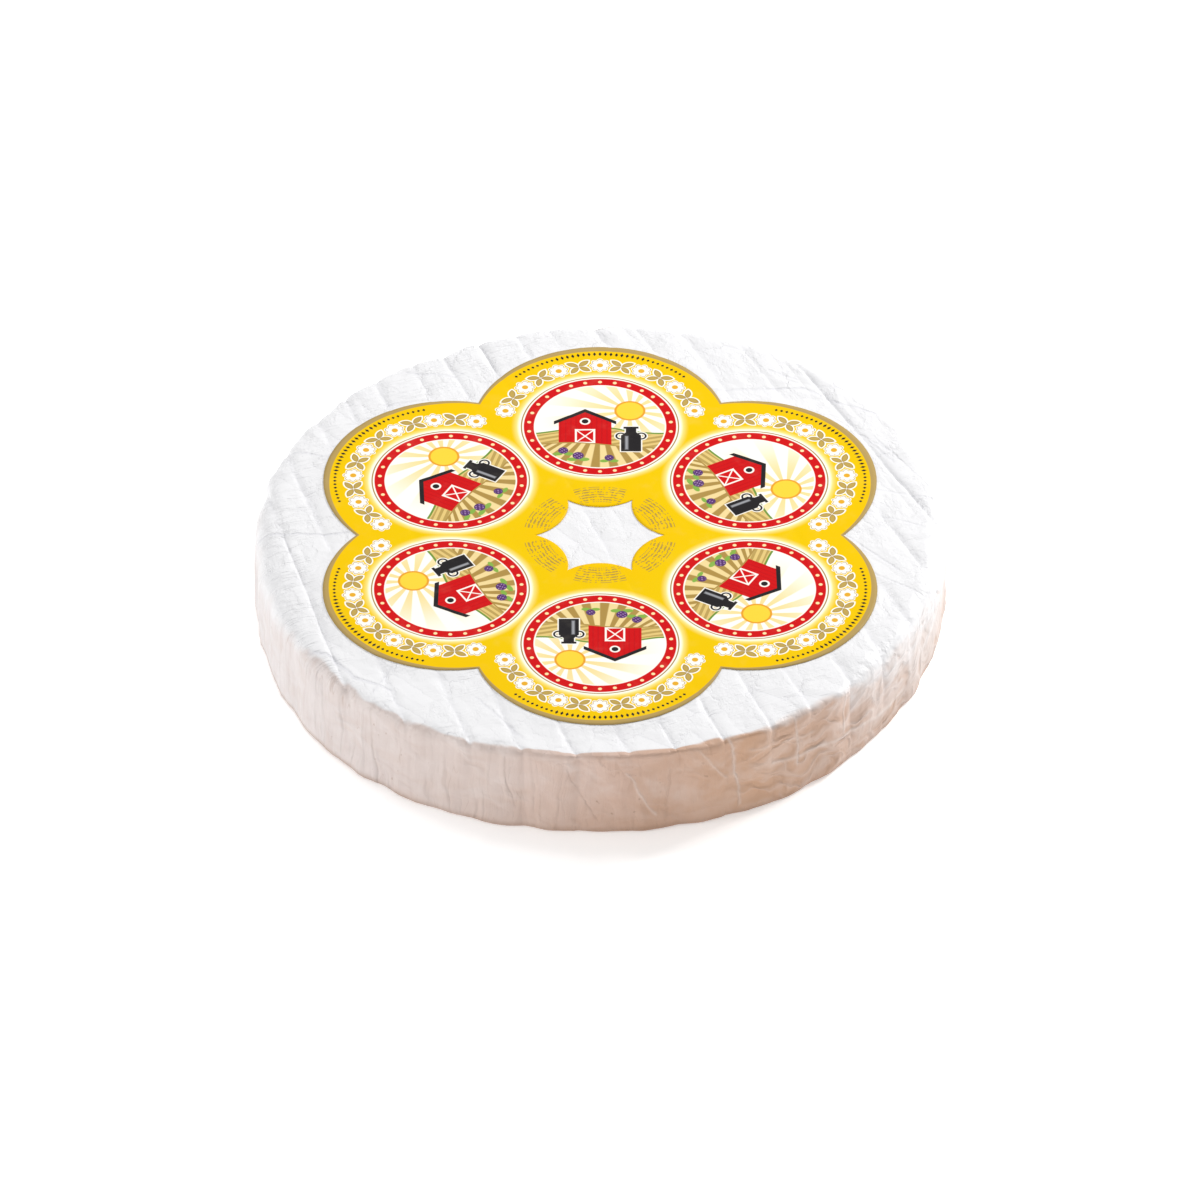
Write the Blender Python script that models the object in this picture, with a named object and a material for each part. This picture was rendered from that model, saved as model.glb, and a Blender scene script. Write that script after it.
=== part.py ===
"""A large flat wheel of soft white cheese in its creased white wrap, with a rosette label on top.

The wrap clings to the cheese, so the two are one solid. The wrap's folds are relief in that solid:
long pleats that fan out from a far point, cross the whole top and turn down the wall. The label is
a thin sheet of its own, cut as six joined discs round a star-shaped hole.

Metres, +Z up. The origin is at the middle of the base, and the front of the wheel faces -Y.
"""

import math

import bmesh
import bpy
import numpy as np
from mathutils import Vector
from mathutils.geometry import delaunay_2d_cdt

# Wheel
MEAN_RADIUS = 0.1509
WHEEL_HEIGHT = 0.0435
LOWER_EDGE_RADIUS = 0.0018

# The wheel is a little out of round: (lobes round the edge, height in metres, azimuth of one lobe)
OUT_OF_ROUND = (
    (2, 0.0016, math.radians(52)),
    (3, 0.0014, math.radians(32)),
    (4, 0.0008, math.radians(-41)),
    (5, 0.0008, math.radians(12)),
)

# Radius of the upper edge, soft on the left and crisp in front
EDGE_RADIUS_MEAN = 0.0076
EDGE_RADIUS_LEFT = 0.0015
EDGE_RADIUS_BACK = 0.0018
EDGE_RADIUS_SIDES = 0.0019

# Folds of the wrap: pleats that fan out from a point far behind the wheel, on its left
FAN_DISTANCE = 1.128
FAN_HEADING = math.radians(21.5)
FOLD_PITCH = 0.0191
FOLD_WANDER = 0.0010
FOLD_COUNT_EACH_SIDE = 8
FOLD_DEPTH = 0.0014
FOLD_DEPTH_SPREAD = 0.3
FOLD_RISE = 0.45
FOLD_DROP = 0.14
FOLD_DEPTH_AT_BASE = 0.4
PRESSED_SHARE = 0.45
PRESSED_RADIUS = 0.100
FREE_RADIUS = 0.138

# Crinkles of the wrap on the wall: (number round the wheel, height in metres, lean over the wall)
WALL_CRINKLES = (
    (29, 0.00035, math.radians(70)),
    (43, 0.00025, math.radians(-110)),
)

# Label
LABEL_DISCS = 6
LABEL_DISC_RADIUS = 0.0554
LABEL_DISC_OFFSET = 0.0749
STAR_ARC_RADIUS = 0.0226
STAR_ARC_OFFSET = 0.0420
LABEL_THICKNESS = 0.0005
LABEL_CLEARANCE = 0.0003

# Fineness of the mesh
FOLD_COLUMNS = (0.0, 0.20, 0.50, 0.86)
STEP_ALONG_FOLD = 0.0085
RIM_MARGIN = 0.0028
SEARCH_REACH = 0.17
SEARCH_STEPS = 681
RIM_STEP_MIN = math.radians(0.6)
RIM_STEP_MAX = math.radians(2.4)
EDGE_RINGS = 4
WALL_RINGS = 3
LOWER_EDGE_RINGS = 2
DISC_ARC_STEP = math.radians(6)
STAR_ARC_SEGMENTS = 8

WRAP_COLOUR = (0.86, 0.85, 0.85, 1.0)
LABEL_COLOUR = (0.95, 0.66, 0.01, 1.0)


def clear_scene():
    for item in list(bpy.data.objects):
        bpy.data.objects.remove(item, do_unlink=True)


def make_material(name, colour, roughness):
    material = bpy.data.materials.new(name)
    material.use_nodes = True
    shader = material.node_tree.nodes["Principled BSDF"]
    shader.inputs["Base Color"].default_value = colour
    shader.inputs["Roughness"].default_value = roughness
    shader.inputs["Metallic"].default_value = 0.0
    return material


def smooth_step(value, low, high):
    """Rise from 0 at low to 1 at high with level ends."""
    share = np.clip((value - low) / (high - low), 0.0, 1.0)
    return share * share * (3.0 - 2.0 * share)


def outline_radius(azimuth):
    """Mean radius plus a few lobes: the sum of height * cos(lobes * (azimuth - peak))."""
    radius = np.full_like(azimuth, MEAN_RADIUS)
    for lobes, height, peak in OUT_OF_ROUND:
        radius += height * np.cos(lobes * (azimuth - peak))
    return radius


def edge_radius(azimuth):
    """Radius of the rounded upper edge, which changes smoothly round the wheel."""
    return (EDGE_RADIUS_MEAN - EDGE_RADIUS_LEFT * np.cos(azimuth) + EDGE_RADIUS_BACK * np.sin(azimuth)
            + EDGE_RADIUS_SIDES * np.cos(2.0 * azimuth))


def rim_radius(azimuth):
    """Where the flat top ends and the rounded edge starts."""
    return outline_radius(azimuth) - edge_radius(azimuth)


def fan_point():
    """The far point that all the pleats come from."""
    return -FAN_DISTANCE * math.sin(FAN_HEADING), FAN_DISTANCE * math.cos(FAN_HEADING)


def across_folds(x, y):
    """Distance across the pleats: the turn about the fan point, as an arc at the wheel's middle."""
    fan_x, fan_y = fan_point()
    return FAN_DISTANCE * (np.arctan2(x - fan_x, fan_y - y) - FAN_HEADING)


def groove_places():
    """The grooves between the pleats: an even pitch with a small wander."""
    number = np.arange(-FOLD_COUNT_EACH_SIDE, FOLD_COUNT_EACH_SIDE + 1)
    return number * FOLD_PITCH + FOLD_WANDER * np.sin(2.3 * number)


def fold_relief(x, y):
    """How far the surface lies below the pleats' crowns.

    Between one groove and the next, the share s runs from 0 to 1. A pleat rises from its left
    groove over FOLD_RISE and drops into the right one over FOLD_DROP, both as 1 - (1 - t)^2, so
    each groove is a V and each crown is round. The label presses the pleats' middles flatter.
    """
    grooves = groove_places()
    place = across_folds(x, y)
    index = np.clip(np.searchsorted(grooves, place, side="right") - 1, 0, len(grooves) - 2)
    share = (place - grooves[index]) / (grooves[index + 1] - grooves[index])
    rise = 1.0 - (1.0 - np.clip(share / FOLD_RISE, 0.0, 1.0)) ** 2
    drop = 1.0 - (1.0 - np.clip((1.0 - share) / FOLD_DROP, 0.0, 1.0)) ** 2
    nearest = index + (share > 0.5)
    depth = FOLD_DEPTH * (1.0 + FOLD_DEPTH_SPREAD * np.sin(1.7 * nearest + 0.6))
    free = smooth_step(np.hypot(x, y), PRESSED_RADIUS, FREE_RADIUS)
    return depth * (1.0 - np.minimum(rise, drop)) * (PRESSED_SHARE + (1.0 - PRESSED_SHARE) * free)


def wall_crinkles(azimuth, height):
    """Small upright crinkles: the sum of h * sin(number * azimuth + lean * height / wheel height)."""
    relief = np.zeros_like(azimuth)
    for number, crinkle_height, lean in WALL_CRINKLES:
        relief += crinkle_height * np.sin(number * azimuth + lean * height / WHEEL_HEIGHT)
    return relief


def fold_line(place):
    """One line along the pleats, as points inside the rim and the azimuths where it meets the rim."""
    fan_x, fan_y = fan_point()
    turn = FAN_HEADING + place / FAN_DISTANCE
    reach = np.linspace(FAN_DISTANCE - SEARCH_REACH, FAN_DISTANCE + SEARCH_REACH, SEARCH_STEPS)
    x = fan_x + reach * math.sin(turn)
    y = fan_y - reach * math.cos(turn)
    azimuth = np.arctan2(y, x)
    inside = np.flatnonzero(np.hypot(x, y) < rim_radius(azimuth))
    if len(inside) < 2:
        return [], []
    ends = [azimuth[inside[0]], azimuth[inside[-1]]]
    first = reach[inside[0]] + RIM_MARGIN
    last = reach[inside[-1]] - RIM_MARGIN
    if last - first < STEP_ALONG_FOLD:
        return [], ends
    along = np.linspace(first, last, max(2, round((last - first) / STEP_ALONG_FOLD) + 1))
    x = fan_x + along * math.sin(turn)
    y = fan_y - along * math.cos(turn)
    clear_of_rim = np.hypot(x, y) < rim_radius(np.arctan2(y, x)) - RIM_MARGIN / 2.0
    return list(zip(x[clear_of_rim], y[clear_of_rim])), ends


def fold_lines():
    """A few lines to each pleat, so that its groove, flanks and crown are edges of the mesh."""
    grooves = groove_places()
    lines = []
    for left, right in zip(grooves[:-1], grooves[1:]):
        for share in FOLD_COLUMNS:
            lines.append(fold_line(left + share * (right - left)))
    return lines


def rim_azimuths(lines):
    """Azimuths round the rim: where the fold lines meet it, with wide gaps filled in evenly."""
    crossings = sorted(float(azimuth) for _, ends in lines for azimuth in ends)
    kept = [crossings[0]]
    for azimuth in crossings[1:]:
        if azimuth - kept[-1] > RIM_STEP_MIN:
            kept.append(azimuth)
    azimuths = []
    for here, after in zip(kept, kept[1:] + [kept[0] + 2.0 * math.pi]):
        steps = max(1, math.ceil((after - here) / RIM_STEP_MAX))
        azimuths += [here + (after - here) * step / steps for step in range(steps)]
    return np.array(azimuths)


def wall_section():
    """Rings from the rim down to the base, each as (kind, share).

    On the upper edge and the lower edge the share is of a quarter turn, and on the wall it is of
    the way down.
    """
    upper = [("upper", step / EDGE_RINGS) for step in range(EDGE_RINGS + 1)]
    wall = [("wall", step / (WALL_RINGS + 1)) for step in range(1, WALL_RINGS + 1)]
    lower = [("lower", step / LOWER_EDGE_RINGS) for step in range(LOWER_EDGE_RINGS + 1)]
    return upper + wall + lower


def ring_points(azimuth, kind, share):
    """One ring of the wheel: its points on the smooth form, moved along the normal by the relief."""
    outline = outline_radius(azimuth)
    edge = edge_radius(azimuth)
    quarter = share * math.pi / 2.0
    if kind == "upper":
        radius = outline - edge + edge * math.sin(quarter)
        height = WHEEL_HEIGHT - edge + edge * math.cos(quarter)
        outward, upward = math.sin(quarter), math.cos(quarter)
    elif kind == "wall":
        radius = outline
        height = (WHEEL_HEIGHT - edge) * (1.0 - share) + LOWER_EDGE_RADIUS * share
        outward, upward = 1.0, 0.0
    else:
        radius = outline - LOWER_EDGE_RADIUS * (1.0 - math.cos(quarter))
        height = np.full_like(azimuth, LOWER_EDGE_RADIUS * (1.0 - math.sin(quarter)))
        outward, upward = 1.0, 0.0
    relief = fold_relief(radius * np.cos(azimuth), radius * np.sin(azimuth))
    relief = relief * (FOLD_DEPTH_AT_BASE + (1.0 - FOLD_DEPTH_AT_BASE) * height / WHEEL_HEIGHT)
    radius = radius + (wall_crinkles(azimuth, height) - relief) * outward
    height = height - relief * upward
    return np.stack([radius * np.cos(azimuth), radius * np.sin(azimuth), height], axis=1)


def top_faces(lines, azimuths):
    """The flat top: the rim's points and the fold lines' points, joined into triangles.

    Each fold line is kept as a chain of edges, from its crossing of the rim to the other.
    """
    rim = rim_radius(azimuths)
    flat = [Vector((r * math.cos(a), r * math.sin(a))) for r, a in zip(rim, azimuths)]
    rim_count = len(flat)
    chains = []
    for points, _ in lines:
        start = len(flat)
        flat += [Vector(point) for point in points]
        chains += [(i, i + 1) for i in range(start, len(flat) - 1)]
    result = delaunay_2d_cdt(flat, chains, [list(range(rim_count))], 1, 1e-7)
    places, faces, origins = result[0], result[2], result[3]
    order = {new: old[0] for new, old in enumerate(origins) if old}
    return places, faces, order, rim_count


def build_wheel(centre):
    """The cheese in its wrap: a pleated top, a rounded edge, a wall and a flat base."""
    lines = fold_lines()
    azimuths = rim_azimuths(lines)
    places, faces, order, rim_count = top_faces(lines, azimuths)
    mesh = bmesh.new()

    rings = []
    for kind, share in wall_section():
        points = ring_points(azimuths, kind, share)
        rings.append([mesh.verts.new(point) for point in points])

    top = []
    for new, place in enumerate(places):
        old = order.get(new, rim_count)
        if old < rim_count:
            top.append(rings[0][old])
        else:
            sunk = fold_relief(np.array([place.x]), np.array([place.y]))[0]
            top.append(mesh.verts.new((place.x, place.y, WHEEL_HEIGHT - sunk)))
    for face in faces:
        mesh.faces.new([top[index] for index in face])

    count = len(azimuths)
    for upper, lower in zip(rings[:-1], rings[1:]):
        for i in range(count):
            j = (i + 1) % count
            mesh.faces.new((upper[i], lower[i], lower[j], upper[j]))
    middle = mesh.verts.new((0.0, 0.0, 0.0))
    for i in range(count):
        mesh.faces.new((rings[-1][(i + 1) % count], rings[-1][i], middle))

    bmesh.ops.triangulate(mesh, faces=mesh.faces[:])
    bmesh.ops.recalc_face_normals(mesh, faces=mesh.faces[:])
    bmesh.ops.translate(mesh, verts=mesh.verts[:], vec=(-centre[0], -centre[1], 0.0))
    return finish_object("wrapped_wheel", mesh, make_material("white_wrap", WRAP_COLOUR, 0.45))


def outline_centre():
    """Middle of the outline's bounding box, which becomes the origin."""
    azimuths = rim_azimuths(fold_lines())
    widest = np.concatenate([ring_points(azimuths, kind, share) for kind, share in wall_section()])
    return (widest.min(axis=0) + widest.max(axis=0))[:2] / 2.0


def arc(centre_azimuth, offset, radius, start, end, steps):
    """Points of an arc about a centre at the given offset, from start to end, without the last."""
    centre_x = offset * math.cos(centre_azimuth)
    centre_y = offset * math.sin(centre_azimuth)
    angles = [start + (end - start) * step / steps for step in range(steps)]
    return [(centre_x + radius * math.cos(a), centre_y + radius * math.sin(a), 0.0) for a in angles]


def label_outlines():
    """Outer outline of six joined discs, and the star-shaped hole of six inward arcs."""
    half_step = math.pi / LABEL_DISCS
    side_height = LABEL_DISC_OFFSET * math.sin(half_step)
    chord = math.sqrt(LABEL_DISC_RADIUS ** 2 - side_height ** 2)
    notch = LABEL_DISC_OFFSET * math.cos(half_step) + chord
    spread = math.atan2(notch * math.sin(half_step), notch * math.cos(half_step) - LABEL_DISC_OFFSET)
    # The star's arc meets the next one on the ray half a step away from its own centre
    star_side = STAR_ARC_OFFSET * math.sin(half_step)
    star_chord = math.sqrt(STAR_ARC_RADIUS ** 2 - star_side ** 2)
    tip = STAR_ARC_OFFSET * math.cos(half_step) - star_chord
    star_spread = math.atan2(tip * math.sin(half_step), STAR_ARC_OFFSET - tip * math.cos(half_step))
    outer = []
    star = []
    arc_steps = math.ceil(2.0 * spread / DISC_ARC_STEP)
    for disc in range(LABEL_DISCS):
        azimuth = math.pi / 2.0 + 2.0 * math.pi * disc / LABEL_DISCS
        outer += arc(azimuth, LABEL_DISC_OFFSET, LABEL_DISC_RADIUS, azimuth - spread, azimuth + spread,
                     arc_steps)
        back = azimuth + math.pi
        star += arc(azimuth, STAR_ARC_OFFSET, STAR_ARC_RADIUS, back + star_spread, back - star_spread,
                    STAR_ARC_SEGMENTS)
    return outer, star


def build_label(centre):
    """The paper label: its two outlines filled flat, then raised to the paper's thickness."""
    mesh = bmesh.new()
    edges = []
    for outline in label_outlines():
        ring = [mesh.verts.new(point) for point in outline]
        edges += [mesh.edges.new((ring[i], ring[(i + 1) % len(ring)])) for i in range(len(ring))]
    filled = bmesh.ops.triangle_fill(mesh, edges=edges, use_beauty=True)["geom"]
    sheet = [item for item in filled if isinstance(item, bmesh.types.BMFace)]
    raised = bmesh.ops.extrude_face_region(mesh, geom=sheet, use_keep_orig=True)["geom"]
    upper = [item for item in raised if isinstance(item, bmesh.types.BMVert)]
    bmesh.ops.translate(mesh, verts=upper, vec=(0.0, 0.0, LABEL_THICKNESS))
    bmesh.ops.recalc_face_normals(mesh, faces=mesh.faces[:])
    label = finish_object("label_sheet", mesh, make_material("label_paper", LABEL_COLOUR, 0.4))
    label.location = (-centre[0], -centre[1], WHEEL_HEIGHT + LABEL_CLEARANCE)
    return label


def finish_object(name, mesh, material):
    data = bpy.data.meshes.new(name)
    mesh.to_mesh(data)
    mesh.free()
    data.materials.append(material)
    item = bpy.data.objects.new(name, data)
    bpy.context.scene.collection.objects.link(item)
    return item


def main():
    clear_scene()
    centre = outline_centre()
    build_wheel(centre)
    build_label(centre)


main()
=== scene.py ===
"""Looks of a large wheel of soft cheese: a creased white wrap, a printed rosette label and a stage."""
import math

import bpy
import numpy as np
from bpy.props import FloatProperty, FloatVectorProperty, IntProperty, PointerProperty
from bpy.types import Operator, Panel, PropertyGroup
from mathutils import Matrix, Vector


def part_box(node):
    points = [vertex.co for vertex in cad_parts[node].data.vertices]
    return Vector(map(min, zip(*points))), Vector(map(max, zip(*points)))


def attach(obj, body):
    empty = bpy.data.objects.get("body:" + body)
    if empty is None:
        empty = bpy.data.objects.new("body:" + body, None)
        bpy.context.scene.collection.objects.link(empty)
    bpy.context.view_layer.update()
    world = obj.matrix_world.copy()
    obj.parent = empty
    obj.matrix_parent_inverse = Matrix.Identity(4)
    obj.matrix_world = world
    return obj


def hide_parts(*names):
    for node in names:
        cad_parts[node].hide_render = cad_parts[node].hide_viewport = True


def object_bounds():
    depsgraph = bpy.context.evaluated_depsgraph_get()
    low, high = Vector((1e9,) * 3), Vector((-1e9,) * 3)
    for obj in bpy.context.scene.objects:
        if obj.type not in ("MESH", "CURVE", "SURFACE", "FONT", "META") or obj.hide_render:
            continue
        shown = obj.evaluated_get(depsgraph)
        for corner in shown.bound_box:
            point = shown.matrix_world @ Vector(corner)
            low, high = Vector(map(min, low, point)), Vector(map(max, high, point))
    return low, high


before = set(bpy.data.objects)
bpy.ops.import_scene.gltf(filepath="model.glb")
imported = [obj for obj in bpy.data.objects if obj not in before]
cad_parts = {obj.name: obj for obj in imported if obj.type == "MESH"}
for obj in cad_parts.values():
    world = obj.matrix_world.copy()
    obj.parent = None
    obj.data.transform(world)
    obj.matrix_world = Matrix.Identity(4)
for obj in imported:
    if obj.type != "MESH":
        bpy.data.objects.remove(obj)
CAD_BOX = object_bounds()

bl_info = {
    "name": "Wrapped cheese wheel",
    "version": (1, 0, 0),
    "blender": (4, 5, 0),
    "location": "3D View > Sidebar > Cheese",
    "description": "Builds a creased white wrap and a printed label round a wheel of soft cheese",
    "category": "Add Mesh",
}

WHEEL_NODE = "wrapped_wheel"
LABEL_NODE = "label_sheet"
WHEEL_LOW, WHEEL_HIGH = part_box(WHEEL_NODE)
LABEL_LOW, LABEL_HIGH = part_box(LABEL_NODE)
LABEL_CENTRE = (np.array(LABEL_LOW) + np.array(LABEL_HIGH))[:2] / 2.0
MILLIMETRE = 0.001

# The wheel is a little out of round: (lobes round the edge, height in metres, azimuth of one lobe)
OUT_OF_ROUND = (
    (2, 0.0016, math.radians(52)),
    (3, 0.0014, math.radians(32)),
    (4, 0.0008, math.radians(-41)),
    (5, 0.0008, math.radians(12)),
)

# Upright crinkles of the wall: (number round the wheel, height in metres, lean over the wall)
WALL_CRINKLES = (
    (29, 0.00035, math.radians(70)),
    (43, 0.00025, math.radians(-110)),
)

# The sharpest creases on the wall: azimuth in degrees and height in mm of one end, then of the other,
# the ridge's height in mm (a groove where it is negative) and its width in mm
WALL_CREASES = (
    (-67.9, 43, -66.5, 6, 0.22, 0.7),
    (-55.4, 42, -55.1, 17, 0.16, 0.6),
    (-44.6, 43, -44.4, 16, 0.16, 0.6),
    (-60.0, 22, -44.5, 17, 0.20, 1.1),
    (-44.5, 17, -27.0, 10, 0.20, 1.1),
    (-85.8, 32, -81.0, 9, 0.14, 0.6),
    (-78.4, 31, -79.1, 7, -0.16, 0.7),
    (-73.1, 40, -68.8, 22, 0.12, 0.7),
    (-96.0, 34, -90.5, 9, -0.12, 0.6),
    (-106.0, 38, -104.5, 12, -0.12, 0.6),
    (-131.0, 40, -129.5, 8, -0.12, 0.7),
    (-19.7, 42, -19.5, 14, -0.30, 0.7),
    (-64.0, 34, -52.0, 29, 0.12, 0.9),
    (-63.0, 28, -57.5, 33, -0.10, 0.7),
    (-42.0, 33, -24.0, 40, 0.12, 0.9),
    (-42.0, 27, -22.0, 32, 0.12, 0.9),
    (-41.0, 22, -25.0, 23, -0.12, 0.9),
)

# The sharpest creases on the top, in mm from the label's centre: both ends, depth in mm, width in mm
TOP_CREASES = (
    (50, 102, 89, 104, 0.12, 0.7),
    (89, 104, 104, 94, 0.12, 0.7),
    (104, 94, 121, 86, 0.12, 0.7),
    (75, 116, 86, 110, 0.10, 0.6),
    (103, 82, 126, 61, 0.10, 0.6),
    (120, 70, 146, 33, 0.10, 0.6),
    (107, -17, 140, -38, 0.10, 0.7),
    (112, 20, 141, 8, 0.08, 0.6),
    (118, 67, 128, 53, 0.12, 0.7),
    (120, 33, 146, 28, 0.10, 0.7),
    (107, 2, 130, -22, 0.12, 0.7),
    (-133, 60, -117, 55, 0.12, 0.7),
    (-150, 4, -110, 3, 0.16, 0.7),
    (-93, 92, -75, 95, 0.12, 0.7),
    (-83, 114, -63, 112, 0.12, 0.7),
    (-128, -75, -116, -81, 0.22, 0.9),
    (-116, -81, -105, -96, 0.22, 0.9),
    (-105, -96, -91, -103, 0.22, 0.9),
    (-52, -111, -33, -136, 0.12, 0.8),
    (-88, -84, -97, -106, -0.10, 0.8),
)

# Shares of a pleat's width over which it rises from its left groove and drops into the right one,
# and the same for the narrow groove that is laid over it
PLEAT_RISE = 0.45
PLEAT_DROP = 0.20
GROOVE_RISE = 0.18
GROOVE_DROP = 0.10
# Radius that takes in the label's hole, and the shares of the folds' depth left in it and under the label
HOLE_REACH = 0.034
HOLE_SHARE = 0.45
PRESSED_SHARE = 0.10
# Where the wrap comes free of the label: distances off the label's edge
PRESS_START = -0.001
PRESS_END = 0.007

# Fineness of the wrap's grid
TOP_COLUMNS = 420
TOP_ROWS = 126
EDGE_RINGS = 10
WALL_RINGS = 21
LOWER_RINGS = 4
BASE_RINGS = 11

# The rounding of the upper edge: its mean, then (times round, share of the cosine, share of the sine)
EDGE_ROUNDING = 0.0076
EDGE_CHANGES = ((1, -0.0015, 0.0018), (2, 0.0019, 0.0))
# Dents of the upper edge: (height and size in metres, seed)
EDGE_DENTS = ((0.0013, 0.017, 51), (0.0006, 0.007, 52))

# Loose film on the top: (height, and the hills' sizes to the right and to the back, in metres, seed)
TOP_SLACK = ((0.00018, 0.021, 0.030, 21), (0.00006, 0.007, 0.009, 22))
BROAD_FACET_HEIGHT = 0.00030
NARROW_FACET_HEIGHT = 0.00011
MINOR_FOLD_DEPTH = 0.00035

# Loose film on the wall, heights in metres
TALL_HILL_HEIGHT = 0.00028
THIN_HILL_HEIGHT = 0.00012
BROAD_HILL_HEIGHT = 0.00035
FOOT_HILL_HEIGHT = 0.00045
RIGHT_FOLD_HEIGHT = 0.0011
BASE_PLEAT_HEIGHT = 0.0009
BASE_PLEATS = 22
BASE_MIDDLE_LIFT = 0.0006

# Fine relief in the top's material, heights in metres
WRINKLE_HEIGHT = 0.00085
GATHER_HEIGHT = 0.0016
TOP_CRUMPLE_HEIGHT = 0.00005
TOP_FACET_HEIGHT = 0.0016
SMALL_FACET_HEIGHT = 0.00020
TOP_LINE_DEPTH = 0.00007
TOP_CREASE_GAIN = 1.9

# Fine relief in the wall's material, heights in metres
STREAK_HEIGHT = 0.0013
STREAK_EDGE_HEIGHT = 0.0010
FINE_STREAK_HEIGHT = 0.00040
DENT_DEPTH = 0.0046
WALL_CRUMPLE_HEIGHT = 0.00008
WALL_FACET_HEIGHT = 0.0017
WALL_CREASE_GAIN = 1.8
CREASE_PUSH = 0.0002

# Colours of the film, and of the rind under it, with the painted shade and painted highlights that are laid
# over them
FAR_SIDE_SHADE = (0.50, 0.455, 0.43)
PALE_FILM_AND_SHEEN = (0.84, 0.78, 0.76)
RIDGE_HIGHLIGHT = (0.90, 0.86, 0.84)
STREAK_SHADE = (0.56, 0.46, 0.43)
DARK_RIND_AND_SHADE = (0.33, 0.19, 0.12)
FOLD_SHADE_GREY = (0.68, 0.68, 0.73)

# Share of the way down the wall, ragged by noises, where its colour starts to take over from the white
BORDER_LEVEL = 0.26

# The print on each disc of the label, in mm from the disc's middle
RING_RADIUS = 31.0
RING_WIDTH = 4.4
GARLAND_RADIUS = 42.6
GARLAND_SPACING = math.radians(25)
RULE_RADIUS = 50.4
CRESCENT_WIDTH = 3.0

CREAM = (1.0, 0.975, 0.90)
GOLD = (0.38, 0.25, 0.06)
PALE_GOLD = (0.76, 0.56, 0.20)
RED = (0.62, 0.007, 0.009)
BLACK = (0.020, 0.018, 0.020)

# Places in the round picture, in mm from its middle, and each clover head's size
SUN_PLACE = (13.0, 11.0)
BARN_PLACE = (-6.5, -0.5)
CHURN_PLACE = (13.5, -9.5)
CLOVERS = ((-16.0, -16.5, 2.6), (-9.5, -20.0, 2.9), (4.0, -21.5, 2.4))

LABEL_LIFT = 0.00030

# The soft square lights: name, place and width in metres, power in watts, colour
LIGHTS = (
    ("key", (1.4, 1.0, 1.1), 0.5, 29.0, (1.0, 0.99, 0.98)),
    ("overhead", (-0.6, 0.6, 1.7), 0.4, 6.5, (1.0, 1.0, 1.0)),
    ("fill", (-1.6, -0.55, 0.6), 0.4, 7.6, (1.0, 0.98, 0.97)),
)
LIGHTS_AIM = (0.0, 0.0, 0.03)
WHITE = (1.0, 1.0, 1.0, 1.0)
ROOM_BRIGHTNESS = 0.53
FLOOR_GLOW = 0.33
FLOOR_HALF_WIDTH = 4.0


class WheelSettings(PropertyGroup):
    """Sizes and colours of the wheel in its wrap."""

    mean_radius: FloatProperty(
        name="Mean radius", description="Radius of the wheel before it goes out of round",
        default=0.1509, unit="LENGTH")
    height: FloatProperty(
        name="Height", description="Height of the pleats' crowns above the base",
        default=WHEEL_HIGH.z, unit="LENGTH")
    lower_edge: FloatProperty(
        name="Lower edge radius", description="Rounding where the wall meets the base",
        default=0.0018, unit="LENGTH")
    fold_pitch: FloatProperty(
        name="Fold pitch", description="Distance from one pleat to the next at the wheel's middle",
        default=0.0191, unit="LENGTH")
    fold_depth: FloatProperty(
        name="Fold depth", description="Depth of the grooves between the pleats",
        default=0.0014, unit="LENGTH")
    fan_distance: FloatProperty(
        name="Fan distance", description="Distance to the far point that the pleats come from",
        default=1.128, unit="LENGTH")
    fan_heading: FloatProperty(
        name="Fan heading", description="Turn of the pleats from straight back, to the left",
        default=math.radians(21.5), subtype="ANGLE")
    top_colour: FloatVectorProperty(
        name="Top colour", description="Colour of the wrap on the top",
        default=(0.84, 0.84, 0.855), subtype="COLOR", min=0.0, max=1.0)
    rind_colour: FloatVectorProperty(
        name="Rind colour", description="Colour of the rind where it shows through the film on the wall",
        default=(0.50, 0.30, 0.19), subtype="COLOR", min=0.0, max=1.0)


class LabelSettings(PropertyGroup):
    """Sizes and colours of the rosette label."""

    discs: IntProperty(
        name="Discs", description="Number of joined discs in the rosette", default=6)
    disc_radius: FloatProperty(
        name="Disc radius", description="Radius of each disc of the rosette",
        default=0.0554, unit="LENGTH")
    disc_offset: FloatProperty(
        name="Disc offset", description="Distance of each disc's centre from the label's centre",
        default=0.0749, unit="LENGTH")
    star_radius: FloatProperty(
        name="Star arc radius", description="Radius of the arcs that bound the star-shaped hole",
        default=0.0226, unit="LENGTH")
    star_offset: FloatProperty(
        name="Star arc offset", description="Distance of those arcs' centres from the label's centre",
        default=0.0420, unit="LENGTH")
    thickness: FloatProperty(
        name="Thickness", description="Thickness of the label's paper",
        default=0.00014, unit="LENGTH")
    ground: FloatVectorProperty(
        name="Ground", description="Main colour of the print",
        default=(0.86, 0.57, 0.0), subtype="COLOR", min=0.0, max=1.0)


class StageSettings(PropertyGroup):
    """The camera's place."""

    elevation: FloatProperty(
        name="Elevation", description="How steeply the camera looks down",
        default=math.radians(39.03), subtype="ANGLE")
    distance: FloatProperty(
        name="Distance", description="Distance from the camera to the wheel",
        default=24.0, unit="LENGTH")
    frame_width: FloatProperty(
        name="Frame width", description="Width of the picture at the wheel",
        default=0.521, unit="LENGTH")
    aim_drop: FloatProperty(
        name="Aim drop", description="How far below the label's centre the camera aims, in the picture",
        default=0.0287, unit="LENGTH")


def smooth_step(value, low, high):
    """Rise from 0 at low to 1 at high with level ends: 3t^2 - 2t^3."""
    share = np.clip((value - low) / (high - low), 0.0, 1.0)
    return share * share * (3.0 - 2.0 * share)


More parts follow.
